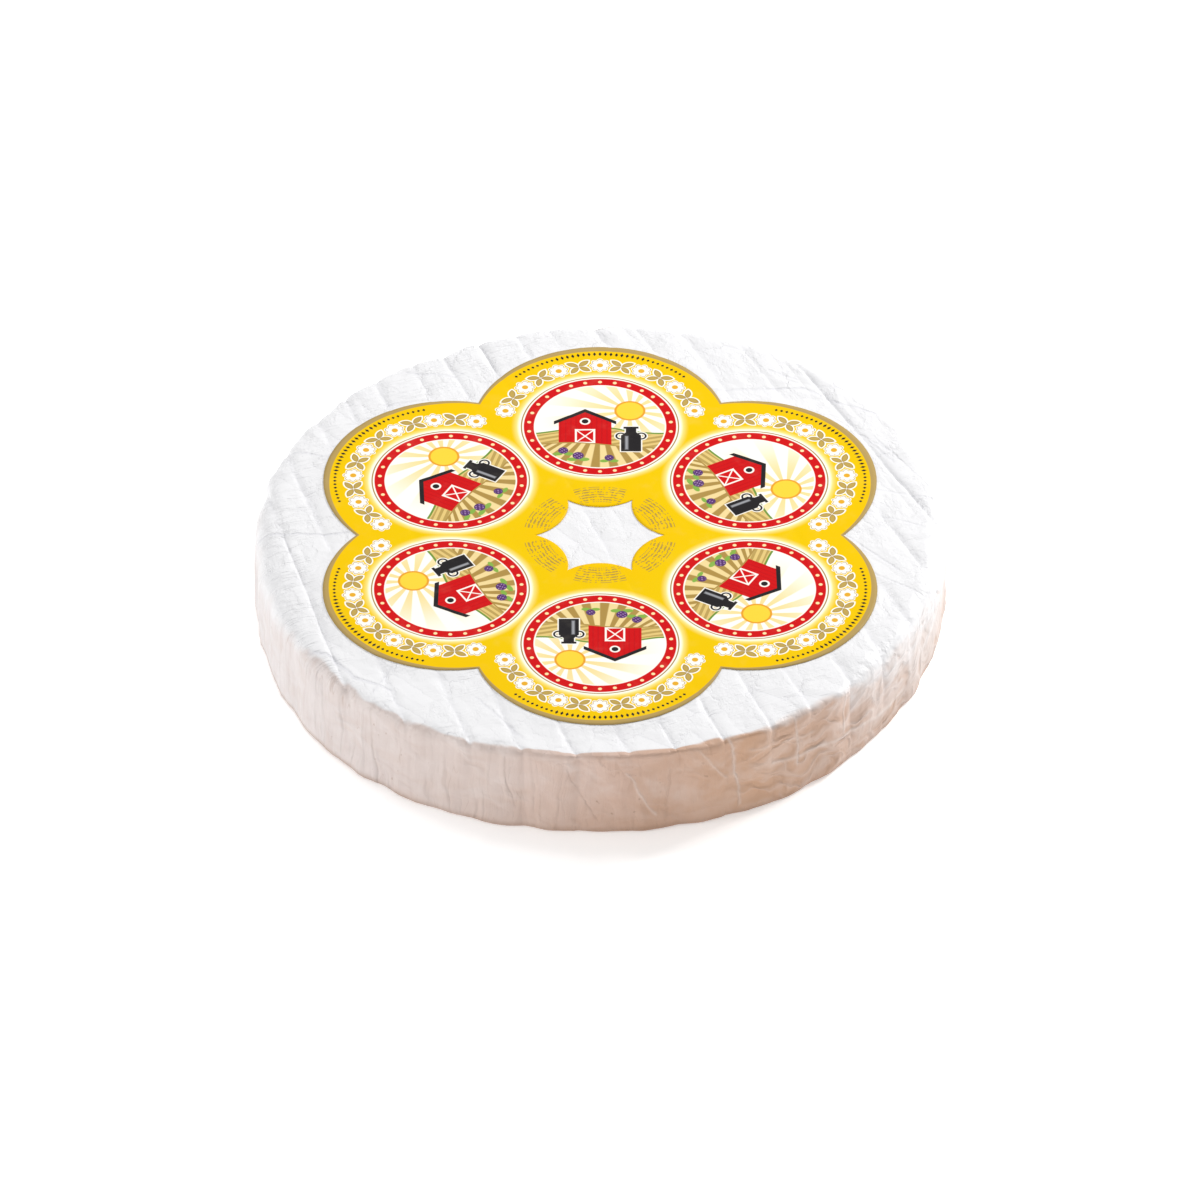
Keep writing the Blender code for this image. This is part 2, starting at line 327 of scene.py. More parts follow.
def lattice_value(column, row, seed):
    """A fixed random number from -1 to 1 for each whole-number point, from a hash of its numbers."""
    mixed = (column * 374761393 + row * 668265263 + seed * 974634777) & 0x7FFFFFFF
    mixed = ((mixed ^ (mixed >> 13)) * 1274126177) & 0x7FFFFFFF
    mixed = mixed ^ (mixed >> 16)
    return (mixed & 0xFFFF) / 32767.5 - 1.0


def lattice_corners(column, row, seed):
    """The random numbers at a square's near, right, upper and far corner."""
    return (lattice_value(column, row, seed), lattice_value(column + 1, row, seed),
            lattice_value(column, row + 1, seed), lattice_value(column + 1, row + 1, seed))


def noise(x, y, seed):
    """Smooth random hills from -1 to 1, one unit apart: lattice values joined by smooth steps."""
    column = np.floor(x).astype(np.int64)
    row = np.floor(y).astype(np.int64)
    across = smooth_step(x - column, 0.0, 1.0)
    up = smooth_step(y - row, 0.0, 1.0)
    near, right, above, far = lattice_corners(column, row, seed)
    low = near * (1.0 - across) + right * across
    high = above * (1.0 - across) + far * across
    return low * (1.0 - up) + high * up


def outline_radius(azimuth, wheel):
    """Mean radius plus a few lobes: the sum of height * cos(lobes * (azimuth - peak))."""
    radius = np.full_like(azimuth, wheel.mean_radius)
    for lobes, height, peak in OUT_OF_ROUND:
        radius = radius + height * np.cos(lobes * (azimuth - peak))
    return radius


def edge_radius(azimuth, wheel):
    """Radius of the rounded upper edge: soft on the left and crisp in front, with dents of two sizes."""
    radius = np.full_like(azimuth, EDGE_ROUNDING)
    for times, by_cosine, by_sine in EDGE_CHANGES:
        radius = radius + by_cosine * np.cos(times * azimuth) + by_sine * np.sin(times * azimuth)
    arc = azimuth * wheel.mean_radius
    turns = 2.0 * math.pi * wheel.mean_radius
    for height, size, seed in EDGE_DENTS:
        radius = radius + height * wrapped_noise(arc, size, turns, np.zeros_like(azimuth), seed)
    return radius


def fan_place(x, y, wheel):
    """Place across the pleats, as an arc at the wheel's middle, and along them towards the far point."""
    fan_x = -wheel.fan_distance * math.sin(wheel.fan_heading)
    fan_y = wheel.fan_distance * math.cos(wheel.fan_heading)
    across = wheel.fan_distance * (np.arctan2(x - fan_x, fan_y - y) - wheel.fan_heading)
    along = wheel.fan_distance - np.hypot(x - fan_x, y - fan_y)
    return across, along


def groove_places(wheel):
    """The grooves between the pleats: an even pitch with a small wander."""
    number = np.arange(-8, 9)
    return number * wheel.fold_pitch + 0.0010 * np.sin(2.3 * number)


def free_share(x, y):
    """0 where the label presses the wrap flat, rising to 1 a few millimetres off its edge.

    The distance to the label is that to its nearest disc, and in the star-shaped hole that to
    the nearest of the hole's arcs.
    """
    label = bpy.context.scene.cheese_label
    turn = (np.arctan2(y, x) % (2.0 * math.pi / label.discs)) - math.pi / label.discs
    radius = np.hypot(x, y)
    along = radius * np.cos(turn)
    aside = radius * np.sin(turn)
    outside = np.hypot(along - label.disc_offset, aside) - label.disc_radius
    in_hole = np.hypot(along - label.star_offset, aside) - label.star_radius
    distance = np.where(radius < label.star_offset * 0.8, in_hole, outside)
    return smooth_step(distance, PRESS_START, PRESS_END)


def loose_share(x, y):
    """How much of the wrap's relief is left: a tenth under the label and all of it beside the label."""
    return PRESSED_SHARE + (1.0 - PRESSED_SHARE) * free_share(x, y)


def wandering_place(x, y, wheel):
    """Place across and along the pleats, pushed aside by a noise so that the grooves wander."""
    across, along = fan_place(x, y, wheel)
    return across + 0.0007 * noise(along / 0.028, across / 0.019, 3), along


def fold_relief(x, y, wheel):
    """How far the folds lie below the pleats' crowns.

    Between one groove and the next the share s runs from 0 to 1. A pleat rises from its left
    groove over 45% and drops into the right one over the last 20%, both as 1 - (1 - t)^2, and a
    narrow groove, 18% and 10% wide, is laid over that, and counts for more on the right. The
    grooves wander a little, and their depth changes along them. They are shallower in the label's
    hole, and the label presses them flat.
    """
    grooves = groove_places(wheel)
    across, along = wandering_place(x, y, wheel)
    index = np.clip(np.searchsorted(grooves, across, side="right") - 1, 0, len(grooves) - 2)
    share = (across - grooves[index]) / (grooves[index + 1] - grooves[index])
    soft = 1.0 - np.minimum(smooth_rise(share / PLEAT_RISE), smooth_rise((1.0 - share) / PLEAT_DROP))
    sharp = 1.0 - np.minimum(smooth_rise(share / GROOVE_RISE), smooth_rise((1.0 - share) / GROOVE_DROP))
    nearest = index + (share > 0.5)
    depth = wheel.fold_depth * (1.0 + 0.3 * np.sin(1.7 * nearest + 0.6))
    depth = depth * (1.0 + 0.30 * noise(along / 0.045, nearest * 7.3, 5))
    depth = np.where(np.hypot(x, y) < HOLE_REACH, depth * HOLE_SHARE, depth)
    crisp = smooth_step(x, -0.06, 0.06)
    shape = (0.52 - 0.30 * crisp) * soft + (0.40 + 0.25 * crisp) * sharp
    return depth * shape * loose_share(x, y)


def smooth_rise(share):
    """Rise from 0 to 1 that levels off: 1 - (1 - t)^2."""
    return 1.0 - (1.0 - np.clip(share, 0.0, 1.0)) ** 2


def groove_share(x, y, wheel):
    """1 at the bottom of each groove, falling to 0 over about 2 mm."""
    across, _ = wandering_place(x, y, wheel)
    gap = np.min(np.abs(across[:, None] - groove_places(wheel)[None, :]), axis=1)
    return np.exp(-(gap / 0.0013) ** 2)


def minor_folds(x, y, wheel):
    """Short extra grooves between the main ones, which come and go along the pleats."""
    across, along = fan_place(x, y, wheel)
    across = across + 0.0015 * noise(along / 0.035, across / 0.030, 11)
    pitch = wheel.fold_pitch * 0.61
    number = np.round(across / pitch)
    distance = np.abs(across - number * pitch)
    shown = smooth_step(noise(along / 0.030, number * 5.1, 12), 0.05, 0.55)
    return MINOR_FOLD_DEPTH * np.exp(-distance / 0.0011) * shown


def facets(x, y, seed):
    """Flat triangles one unit across, as in crumpled film, between random heights from -1 to 1."""
    column = np.floor(x).astype(np.int64)
    row = np.floor(y).astype(np.int64)
    across = x - column
    up = y - row
    near, right, above, far = lattice_corners(column, row, seed)
    lower_half = near + across * (right - near) + up * (above - near)
    upper_half = far + (1.0 - across) * (above - far) + (1.0 - up) * (right - far)
    return np.where(across + up < 1.0, lower_half, upper_half)


def crumple_relief(x, y):
    """Broad facets of the film in two sizes, bent by a noise, and deepest along the front left rim."""
    bent_x = x + 0.007 * noise(x / 0.030, y / 0.030, 71)
    bent_y = y + 0.007 * noise(x / 0.030, y / 0.030, 72)
    broad = facets((bent_x + 0.4 * bent_y) / 0.020, (bent_y - 0.3 * bent_x) / 0.027, 73)
    narrow = facets((bent_x - 0.5 * bent_y) / 0.0085, (bent_y + 0.2 * bent_x) / 0.011, 74)
    rim = smooth_step(np.hypot(x, y), 0.085, 0.130)
    front_left = smooth_step(-x - y, 0.03, 0.12)
    relief = BROAD_FACET_HEIGHT * (1.0 + broad) + NARROW_FACET_HEIGHT * (1.0 + narrow)
    return relief * (0.55 + rim * (0.35 + 0.9 * front_left))


def random_creases(x, y, count, seed, reach, lengths, heights):
    """Straight short creases at random places: each is height * e^(-distance / width), fading to its ends.

    Half of them run roughly across the pleats and half any way at all.
    """
    draw = np.random.default_rng(seed)
    relief = np.zeros_like(x)
    for number in range(count):
        angle = draw.uniform(0.0, 2.0 * math.pi)
        radius = reach * math.sqrt(draw.uniform(0.0, 1.0))
        middle_x = radius * math.cos(angle)
        middle_y = radius * math.sin(angle)
        heading = draw.normal(math.radians(8), 0.25) if number % 2 else draw.uniform(0.0, math.pi)
        length = draw.uniform(*lengths)
        height = draw.uniform(*heights) * (1.0 if draw.random() < 0.45 else -1.0)
        width = draw.uniform(0.0007, 0.0015)
        off_x = x - middle_x
        off_y = y - middle_y
        along = off_x * math.cos(heading) + off_y * math.sin(heading)
        bend = draw.uniform(-4.0, 4.0)
        distance = np.abs(off_y * math.cos(heading) - off_x * math.sin(heading) - bend * along * along)
        fade = smooth_step(length / 2.0 - np.abs(along), 0.0, length / 3.0)
        relief += height * np.exp(-distance / width) * fade
    return relief


def top_relief(x, y, wheel):
    """How far the top lies below the crowns: folds, short grooves, facets, random creases and slack."""
    slack = 0.0
    for height, width, length, seed in TOP_SLACK:
        slack = slack + height * (1.0 + noise(x / width, y / length, seed))
    creases = random_creases(x, y, count=150, seed=31, reach=0.155, lengths=(0.010, 0.050),
                             heights=(0.00010, 0.00030))
    loose = minor_folds(x, y, wheel) + crumple_relief(x, y) + slack - creases
    return np.maximum(fold_relief(x, y, wheel) + loose * loose_share(x, y), 0.0)


def wall_crinkles(azimuth, height, wheel):
    """Upright crinkles: the sum of h * sin(number * azimuth + lean * height), as in the solid."""
    relief = np.zeros_like(azimuth)
    for number, crinkle, lean in WALL_CRINKLES:
        relief = relief + crinkle * np.sin(number * azimuth + lean * height / wheel.height)
    return relief


def wall_slack(azimuth, height, wheel):
    """Loose film on the wall: sharp hills, tall and thin, broad soft ones, and folds on the right."""
    arc = azimuth * wheel.mean_radius
    lean = arc + 0.18 * height
    turns = 2.0 * math.pi * wheel.mean_radius
    # A whole number of hills goes round the wheel, so that the pattern closes on itself
    tall = wrapped_noise(lean, 0.0052, turns, height / 0.028, 41)
    thin = wrapped_noise(lean, 0.0027, turns, height / 0.016, 42)
    broad = wrapped_noise(arc, 0.021, turns, height / 0.022, 43)
    foot = wrapped_noise(arc, 0.010, turns, np.zeros_like(arc), 44) * (1.0 - height / wheel.height) ** 2
    on_right = smooth_step(azimuth, math.radians(-66), math.radians(-48))
    on_right = on_right * smooth_step(-azimuth, math.radians(-15), math.radians(10))
    folds = wrapped_noise(arc - 0.6 * height, 0.019, turns, height / 0.011 - arc / 0.060, 45)
    hills = TALL_HILL_HEIGHT * (0.5 - np.abs(tall)) + THIN_HILL_HEIGHT * (0.5 - np.abs(thin))
    hills = hills + BROAD_HILL_HEIGHT * broad + FOOT_HILL_HEIGHT * foot
    return hills + RIGHT_FOLD_HEIGHT * (0.4 - np.abs(folds)) * on_right


def wrapped_noise(arc, size, turns, up, seed):
    """Noise along the wall that repeats after one turn: two noises joined over the last few hills."""
    count = round(turns / size)
    place = (arc / turns % 1.0) * count
    joined = smooth_step(place, count - 3.0, count)
    return noise(place, up, seed) * (1.0 - joined) + noise(place - count, up, seed) * joined


def column_angles(count, wheel):
    """Angles of the top's columns, from 0 to pi, set closer together near the grooves.

    The share of columns up to an angle is the sum of an even density and a hump at each groove.
    """
    fine = np.linspace(0.0, math.pi, 20001)
    across = wheel.fan_distance * np.arcsin(-wheel.mean_radius / wheel.fan_distance * np.cos(fine))
    gap = np.min(np.abs(across[:, None] - groove_places(wheel)[None, :]), axis=1)
    density = 1.0 + 1.6 * np.exp(-(gap / 0.0018) ** 2) / np.maximum(np.sin(fine), 0.25)
    total = np.concatenate([[0.0], np.cumsum((density[1:] + density[:-1]) / 2.0)])
    return np.interp(np.arange(1, count + 1) / (count + 1), total / total[-1], fine)


def top_grid(columns, rows, wheel):
    """Unit places on the top: column i follows a pleat, and row j runs across it.

    A column at angle t lies on the fan line that leaves the far point at asin(-(R / L) * cos(t)).
    Along it the row's share v runs from -1 to 1 between the line's two crossings of the circle.
    """
    angle = column_angles(columns, wheel)[:, None]
    share = np.linspace(-1.0, 1.0, rows)[None, :]
    return fan_to_plan(angle, 0.55 * share + 0.45 * np.sin(share * math.pi / 2.0), wheel)


def fan_to_plan(angle, share, wheel):
    """Unit place of a column's angle and a row's share."""
    ratio = wheel.mean_radius / wheel.fan_distance
    turn = np.arcsin(-ratio * np.cos(angle))
    reach = np.cos(turn) / ratio - share * np.sin(angle)
    across = reach * np.sin(turn)
    along = 1.0 / ratio - reach * np.cos(turn)
    heading = wheel.fan_heading
    x = across * math.cos(heading) - along * math.sin(heading)
    y = across * math.sin(heading) + along * math.cos(heading)
    return x, y


def loop_faces(upper, lower):
    """Quads between two closed rings of vertex numbers."""
    return np.stack([upper, lower, np.roll(lower, -1), np.roll(upper, -1)], axis=1)


def wrap_surface(wheel):
    """The whole wrap as one closed grid: vertices, quads, triangles, and how far down the wall each is.

    The top's columns follow the pleats. From the rim, rings go round the upper edge, down the wall,
    round the lower edge and in under the base to its middle.
    """
    columns, rows = TOP_COLUMNS, TOP_ROWS
    grid_x, grid_y = top_grid(columns, rows, wheel)
    number = np.arange(columns * rows).reshape(columns, rows)
    first_pole = columns * rows
    last_pole = first_pole + 1
    poles_x, poles_y = fan_to_plan(np.array([0.0, math.pi]), np.zeros(2), wheel)
    x = np.concatenate([grid_x.ravel(), poles_x])
    y = np.concatenate([grid_y.ravel(), poles_y])
    azimuth = np.arctan2(y, x)
    radius = np.hypot(x, y) * (outline_radius(azimuth, wheel) - edge_radius(azimuth, wheel))
    top_x = radius * np.cos(azimuth)
    top_y = radius * np.sin(azimuth)
    top_z = wheel.height - top_relief(top_x, top_y, wheel)

    quads = [np.stack([number[:-1, :-1].ravel(), number[1:, :-1].ravel(),
                       number[1:, 1:].ravel(), number[:-1, 1:].ravel()], axis=1)]
    triangles = [
        np.stack([np.full(rows - 1, first_pole), number[0, :-1], number[0, 1:]], axis=1),
        np.stack([np.full(rows - 1, last_pole), number[-1, 1:], number[-1, :-1]], axis=1),
    ]
    rim = np.concatenate([[first_pole], number[:, 0], [last_pole], number[::-1, -1]])
    rim_azimuth = azimuth[rim]

    edge_turns = np.linspace(0.0, 1.0, EDGE_RINGS + 1)[1:] * math.pi / 2.0
    wall_shares = np.linspace(0.0, 1.0, WALL_RINGS + 1)[1:]
    lower_turns = np.linspace(0.0, 1.0, LOWER_RINGS + 1)[1:] * math.pi / 2.0
    base_shares = np.linspace(1.0, 0.0, BASE_RINGS + 2)[1:-1] ** 0.8
    rings = [edge_ring(rim_azimuth, turn, wheel) for turn in edge_turns]
    rings += [wall_ring(rim_azimuth, share, wheel) for share in wall_shares]
    rings += [lower_ring(rim_azimuth, turn, wheel) for turn in lower_turns]
    rings += [base_ring(rim_azimuth, share, wheel) for share in base_shares]

    start = columns * rows + 2
    count = len(rim)
    above = rim
    for ring in range(len(rings)):
        below = start + ring * count + np.arange(count)
        quads.append(loop_faces(above, below))
        above = below
    middle = start + len(rings) * count
    triangles.append(np.stack([np.roll(above, -1), above, np.full(count, middle)], axis=1))

    top_points = np.stack([top_x, top_y, top_z, np.zeros_like(top_x)], axis=1)
    points = np.concatenate([top_points] + rings + [[[0.0, 0.0, BASE_MIDDLE_LIFT, 2.0]]])
    return points, np.concatenate(quads), np.concatenate(triangles)


def wall_relief(azimuth, radius, height, wheel):
    """Relief of the wall along its outward normal: the folds turned down, crinkles and slack."""
    folds = fold_relief(radius * np.cos(azimuth), radius * np.sin(azimuth), wheel)
    folds = folds + minor_folds(radius * np.cos(azimuth), radius * np.sin(azimuth), wheel)
    folds = folds * (0.25 + 0.75 * (height / wheel.height) ** 2)
    return wall_crinkles(azimuth, height, wheel) + wall_slack(azimuth, height, wheel) - folds


def edge_ring(azimuth, turn, wheel):
    """A ring on the rounded upper edge, where the top's relief hands over to the wall's."""
    edge = edge_radius(azimuth, wheel)
    radius = outline_radius(azimuth, wheel) - edge * (1.0 - math.sin(turn))
    height = wheel.height - edge * (1.0 - math.cos(turn))
    x = radius * np.cos(azimuth)
    y = radius * np.sin(azimuth)
    handed_over = smooth_step(np.float64(turn), 0.2, 1.3)
    relief = (wall_relief(azimuth, radius, height, wheel) * handed_over
              - top_relief(x, y, wheel) * (1.0 - handed_over))
    radius = radius + relief * math.sin(turn)
    height = np.minimum(height + relief * math.cos(turn), wheel.height)
    shade = np.full_like(radius, turn / (math.pi / 2.0))
    return np.stack([radius * np.cos(azimuth), radius * np.sin(azimuth), height, shade], axis=1)


def wall_ring(azimuth, share, wheel):
    """A ring on the wall, at a share of the way from the upper edge to the lower one."""
    radius = outline_radius(azimuth, wheel)
    height = (wheel.height - edge_radius(azimuth, wheel)) * (1.0 - share) + wheel.lower_edge * share
    radius = radius + wall_relief(azimuth, radius, height, wheel)
    shade = np.full_like(radius, 1.0 + share)
    return np.stack([radius * np.cos(azimuth), radius * np.sin(azimuth), height, shade], axis=1)


def lower_ring(azimuth, turn, wheel):
    """A ring on the rounded lower edge."""
    outline = outline_radius(azimuth, wheel)
    height = np.full_like(azimuth, wheel.lower_edge * (1.0 - math.sin(turn)))
    radius = outline - wheel.lower_edge * (1.0 - math.cos(turn))
    radius = radius + wall_relief(azimuth, outline, height, wheel)
    shade = np.full_like(radius, 2.0)
    return np.stack([radius * np.cos(azimuth), radius * np.sin(azimuth), height, shade], axis=1)


def base_ring(azimuth, share, wheel):
    """A ring under the base, where the wrap is gathered in pleats that swirl in to the middle.

    With p = |sin(pleats * azimuth / 2 + swirl)| they lie above the floor by height * (1 - p)^2,
    fading out at the edge.
    """
    radius = (outline_radius(azimuth, wheel) - wheel.lower_edge) * share
    swirl = 1.5 * share + 0.6 * noise(azimuth * 3.0 + 40.0, np.full_like(azimuth, share * 4.0), 61)
    pleat = np.abs(np.sin(BASE_PLEATS * azimuth / 2.0 + swirl))
    lift = BASE_PLEAT_HEIGHT * (1.0 - pleat) ** 2 * smooth_step(np.float64(1.0 - share), 0.0, 0.12)
    shade = np.full_like(radius, 2.0)
    return np.stack([radius * np.cos(azimuth), radius * np.sin(azimuth), lift, shade], axis=1)


def fit_to_box(points, low, high):
    """Centre the points on the box across and front to back, and scale those two axes so that they just fill
    it.
    """
    for axis in (0, 1):
        least = points[:, axis].min()
        most = points[:, axis].max()
        middle = (low[axis] + high[axis]) / 2.0
        scale = (high[axis] - low[axis]) / (most - least)
        points[:, axis] = middle + (points[:, axis] - (least + most) / 2.0) * scale
    return points


def new_piece(name, points, polygons, node, material):
    """A mesh object at the origin that rides on the body, stands for its CAD node and is shaded smooth."""
    mesh = bpy.data.meshes.new(name)
    mesh.from_pydata(points.tolist(), [], polygons)
    mesh.update()
    mesh.shade_smooth()
    mesh.materials.append(material)
    piece = bpy.data.objects.new(name, mesh)
    bpy.context.scene.collection.objects.link(piece)
    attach(piece, "root")
    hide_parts(node)
    return piece


class Field:
    """A number that changes over the surface, which can be worked with like a plain number."""

    def __init__(self, tree, socket):
        self.tree = tree
        self.socket = socket

    def join(self, operation, *others):
        """A field from a maths node that works on this field and the others."""
        node = self.tree.nodes.new("ShaderNodeMath")
        node.operation = operation
        for place, value in enumerate((self,) + others):
            if isinstance(value, Field):
                self.tree.links.new(value.socket, node.inputs[place])
            else:
                node.inputs[place].default_value = value
        return Field(self.tree, node.outputs[0])

    def flipped(self, operation, other):
        """The same with a plain number first and this field second."""
        node = self.tree.nodes.new("ShaderNodeMath")
        node.operation = operation
        node.inputs[0].default_value = other
        self.tree.links.new(self.socket, node.inputs[1])
        return Field(self.tree, node.outputs[0])

    def __add__(self, other):
        return self.join("ADD", other)

    def __sub__(self, other):
        return self.join("SUBTRACT", other)

    def __mul__(self, other):
        return self.join("MULTIPLY", other)

    def __truediv__(self, other):
        return self.join("DIVIDE", other)

    def __rsub__(self, other):
        return self.flipped("SUBTRACT", other)

    __radd__ = __add__

    def __abs__(self):
        return self.join("ABSOLUTE")

    def least(self, other):
        return self.join("MINIMUM", other)

    def most(self, other):
        return self.join("MAXIMUM", other)

    def sine(self):
        return self.join("SINE")

    def cosine(self):
        return self.join("COSINE")

    def step(self, low, high):
        """Rise smoothly from 0 at low to 1 at high."""
        node = self.tree.nodes.new("ShaderNodeMapRange")
        node.interpolation_type = "SMOOTHSTEP"
        self.tree.links.new(self.socket, node.inputs["Value"])
        node.inputs["From Min"].default_value = low
        node.inputs["From Max"].default_value = high
        return Field(self.tree, node.outputs["Result"])


def length_of(x, y):
    """Length of the vector (x, y): the root of x^2 + y^2."""
    return (x * x + y * y).join("SQRT")


def angle_of(x, y):
    """Angle from straight up, turning right."""
    return x.join("ARCTAN2", y)


def noise_field(tree, vector, scale, detail=2.0, roughness=0.5):
    """A noise texture read at the given vector, from 0 to 1 around 0.5."""
    node = tree.nodes.new("ShaderNodeTexNoise")
    node.inputs["Scale"].default_value = scale
    node.inputs["Detail"].default_value = detail
    node.inputs["Roughness"].default_value = roughness
    tree.links.new(vector, node.inputs["Vector"])
    return Field(tree, node.outputs["Fac"])


def vector_of(tree, x, y, z=0.0):
    """A vector's socket, from three numbers or fields."""
    node = tree.nodes.new("ShaderNodeCombineXYZ")
    for place, value in enumerate((x, y, z)):
        if isinstance(value, Field):
            tree.links.new(value.socket, node.inputs[place])
        else:
            node.inputs[place].default_value = value
    return node.outputs[0]


def split_vector(tree, socket):
    """The three parts of a vector, as fields."""
    node = tree.nodes.new("ShaderNodeSeparateXYZ")
    tree.links.new(socket, node.inputs[0])
    return [Field(tree, node.outputs[place]) for place in range(3)]


def paint(tree, under, over, mask):
    """Lay one colour over another where the mask is 1. Each is a colour or a socket."""
    node = tree.nodes.new("ShaderNodeMix")
    node.data_type = "RGBA"
    tree.links.new(mask.socket, node.inputs["Factor"])
    for name, value in (("A", under), ("B", over)):
        socket = [item for item in node.inputs if item.name == name and item.type == "RGBA"][0]
        if isinstance(value, bpy.types.NodeSocket):
            tree.links.new(value, socket)
        else:
            socket.default_value = (*value, 1.0)
    return [item for item in node.outputs if item.type == "RGBA"][0]


def attribute_field(tree, name):
    """A number that the mesh holds at each of its vertices."""
    node = tree.nodes.new("ShaderNodeAttribute")
    node.attribute_name = name
    return Field(tree, node.outputs["Fac"])


def new_group(name, inputs, outputs):
    """A node group with named sockets: the group, what comes in and what goes out."""
    group = bpy.data.node_groups.new(name, "ShaderNodeTree")
    for direction, sockets in (("INPUT", inputs), ("OUTPUT", outputs)):
        for socket, kind in sockets:
            group.interface.new_socket(socket, in_out=direction, socket_type="NodeSocket" + kind)
    return group, group.nodes.new("NodeGroupInput").outputs, group.nodes.new("NodeGroupOutput").inputs


def place_group(tree, name, make, values):
    """Put a shared node group in a material, made first if it is new, with its inputs linked or set."""
    node = tree.nodes.new("ShaderNodeGroup")
    node.node_tree = bpy.data.node_groups.get(name) or make(name)
    for socket, value in values.items():
        if isinstance(value, bpy.types.NodeSocket):
            tree.links.new(value, node.inputs[socket])
        else:
            node.inputs[socket].default_value = value
    return node.outputs


def combine_vectors(tree, operation, first, second):
    """Add, subtract or divide two vectors, or a vector and a number that counts for all its parts."""
    node = tree.nodes.new("ShaderNodeVectorMath")
    node.operation = operation
    tree.links.new(first, node.inputs[0])
    tree.links.new(second, node.inputs[1])
    return node.outputs[0]


def paper_grain_group(name):
    """Fine fibres of paper: a height and a mottle, both from 0 to 1, read at a place on the object."""
    group, entry, leave = new_group(name, (("Place", "Vector"), ("Fibre Size", "Float")),
                                    (("Height", "Float"), ("Mottle", "Float")))
    scaled = combine_vectors(group, "DIVIDE", entry["Place"], entry["Fibre Size"])
    group.links.new(noise_field(group, scaled, 1.0, 3.0, 0.6).socket, leave["Height"])
    group.links.new(noise_field(group, scaled, 0.06, 3.0, 0.55).socket, leave["Mottle"])
    return group


def place_grain(tree, place, fibre_size):
    """Put the paper's grain in a material, and return its height and mottle."""
    grain = place_group(tree, "paper_grain", paper_grain_group, {"Place": place, "Fibre Size": fibre_size})
    return Field(tree, grain["Height"]), Field(tree, grain["Mottle"])


def start_material(name, roughness):
    """A material that is no metal, with its nodes and its shader."""
    material = bpy.data.materials.new(name)
    material.use_nodes = True
    tree = material.node_tree
    shader = tree.nodes["Principled BSDF"]
    shader.inputs["Metallic"].default_value = 0.0
    shader.inputs["Roughness"].default_value = roughness
    return material, tree, shader


def add_bump(tree, shader, height):
    """Feed a height in metres to the shader's normal."""
    bump = tree.nodes.new("ShaderNodeBump")
    bump.inputs["Strength"].default_value = 1.0
    bump.inputs["Distance"].default_value = 1.0
    tree.links.new(height.socket, bump.inputs["Height"])
    tree.links.new(bump.outputs["Normal"], shader.inputs["Normal"])


def crease_group(name):
    """Crumpled film: a network of creases between roof-shaped facets, one unit across.

    Line is 1 on a crease and 0 away from it. Facet is the distance from the nearest crease.
    """
    group, entry, leave = new_group(name, (("Place", "Vector"), ("Width", "Float")),
                                    (("Line", "Float"), ("Facet", "Float")))
    edges = group.nodes.new("ShaderNodeTexVoronoi")
    edges.feature = "DISTANCE_TO_EDGE"
    edges.voronoi_dimensions = "2D"
    edges.inputs["Scale"].default_value = 1.0
    group.links.new(entry["Place"], edges.inputs["Vector"])
    distance = Field(group, edges.outputs["Distance"])
    gap = distance / Field(group, entry["Width"])
    line = (gap * gap * -1.0).join("EXPONENT")
    group.links.new(line.socket, leave["Line"])
    group.links.new(distance.socket, leave["Facet"])
    return group


def place_creases(tree, place, width):
    """Put the crease network in a material, and return its line and facet."""
    network = place_group(tree, "crease_network", crease_group, {"Place": place, "Width": width})
    return Field(tree, network["Line"]), Field(tree, network["Facet"])


def line_group(name):
    """One straight crease between two places, added to a sum of creases.

    It is height * e^(-(distance / width)^2). The place that leaves is pushed aside a little where
    the crease is, as one fold in a film shifts the folds that cross it.
    """
    group, entry, leave = new_group(
        name,
        (("Place", "Vector"), ("Sum", "Float"), ("Middle", "Vector"), ("Heading", "Float"),
         ("Half Length", "Float"), ("Width", "Float"), ("Height", "Float")),
        (("Place", "Vector"), ("Sum", "Float")))
    turned = group.nodes.new("ShaderNodeVectorRotate")
    turned.rotation_type = "Z_AXIS"
    turned.invert = True
    group.links.new(entry["Place"], turned.inputs["Vector"])
    group.links.new(entry["Middle"], turned.inputs["Center"])
    group.links.new(entry["Heading"], turned.inputs["Angle"])
    offset = combine_vectors(group, "SUBTRACT", turned.outputs[0], entry["Middle"])
    along, aside, _ = split_vector(group, offset)
    beyond = (abs(along) - Field(group, entry["Half Length"])).most(0.0)
    gap = length_of(aside, beyond * 0.5) / Field(group, entry["Width"])
    line = (gap * gap * -1.0).join("EXPONENT")
    total = line * Field(group, entry["Height"]) + Field(group, entry["Sum"])
    group.links.new(total.socket, leave["Sum"])
    pushed = combine_vectors(group, "ADD", entry["Place"], (line * CREASE_PUSH).socket)
    group.links.new(pushed, leave["Place"])
    return group


def crease_lines(tree, place, creases):
    """Sum of straight creases given in metres, each as (x, y, x, y, height, width)."""
    total = 0.0
    for start_x, start_y, end_x, end_y, height, width in creases:
        line = place_group(tree, "crease_line", line_group, {
            "Place": place,
            "Sum": total,
            "Middle": ((start_x + end_x) / 2.0, (start_y + end_y) / 2.0, 0.0),
            "Heading": math.atan2(end_y - start_y, end_x - start_x),
            "Half Length": math.hypot(end_x - start_x, end_y - start_y) / 2.0,
            "Width": width,
            "Height": height,
        })
        place = line["Place"]
        total = line["Sum"]
    return Field(tree, total)


def patches(tree, place, scale, low, high):
    """Soft random patches: 1 inside and 0 outside."""
    return noise_field(tree, place, scale, 1.0).step(low, high)


def hairlines(field, width):
    """Thin lines where a noise passes its middle value."""
    return 1.0 - abs(field - 0.5).step(0.0, width)


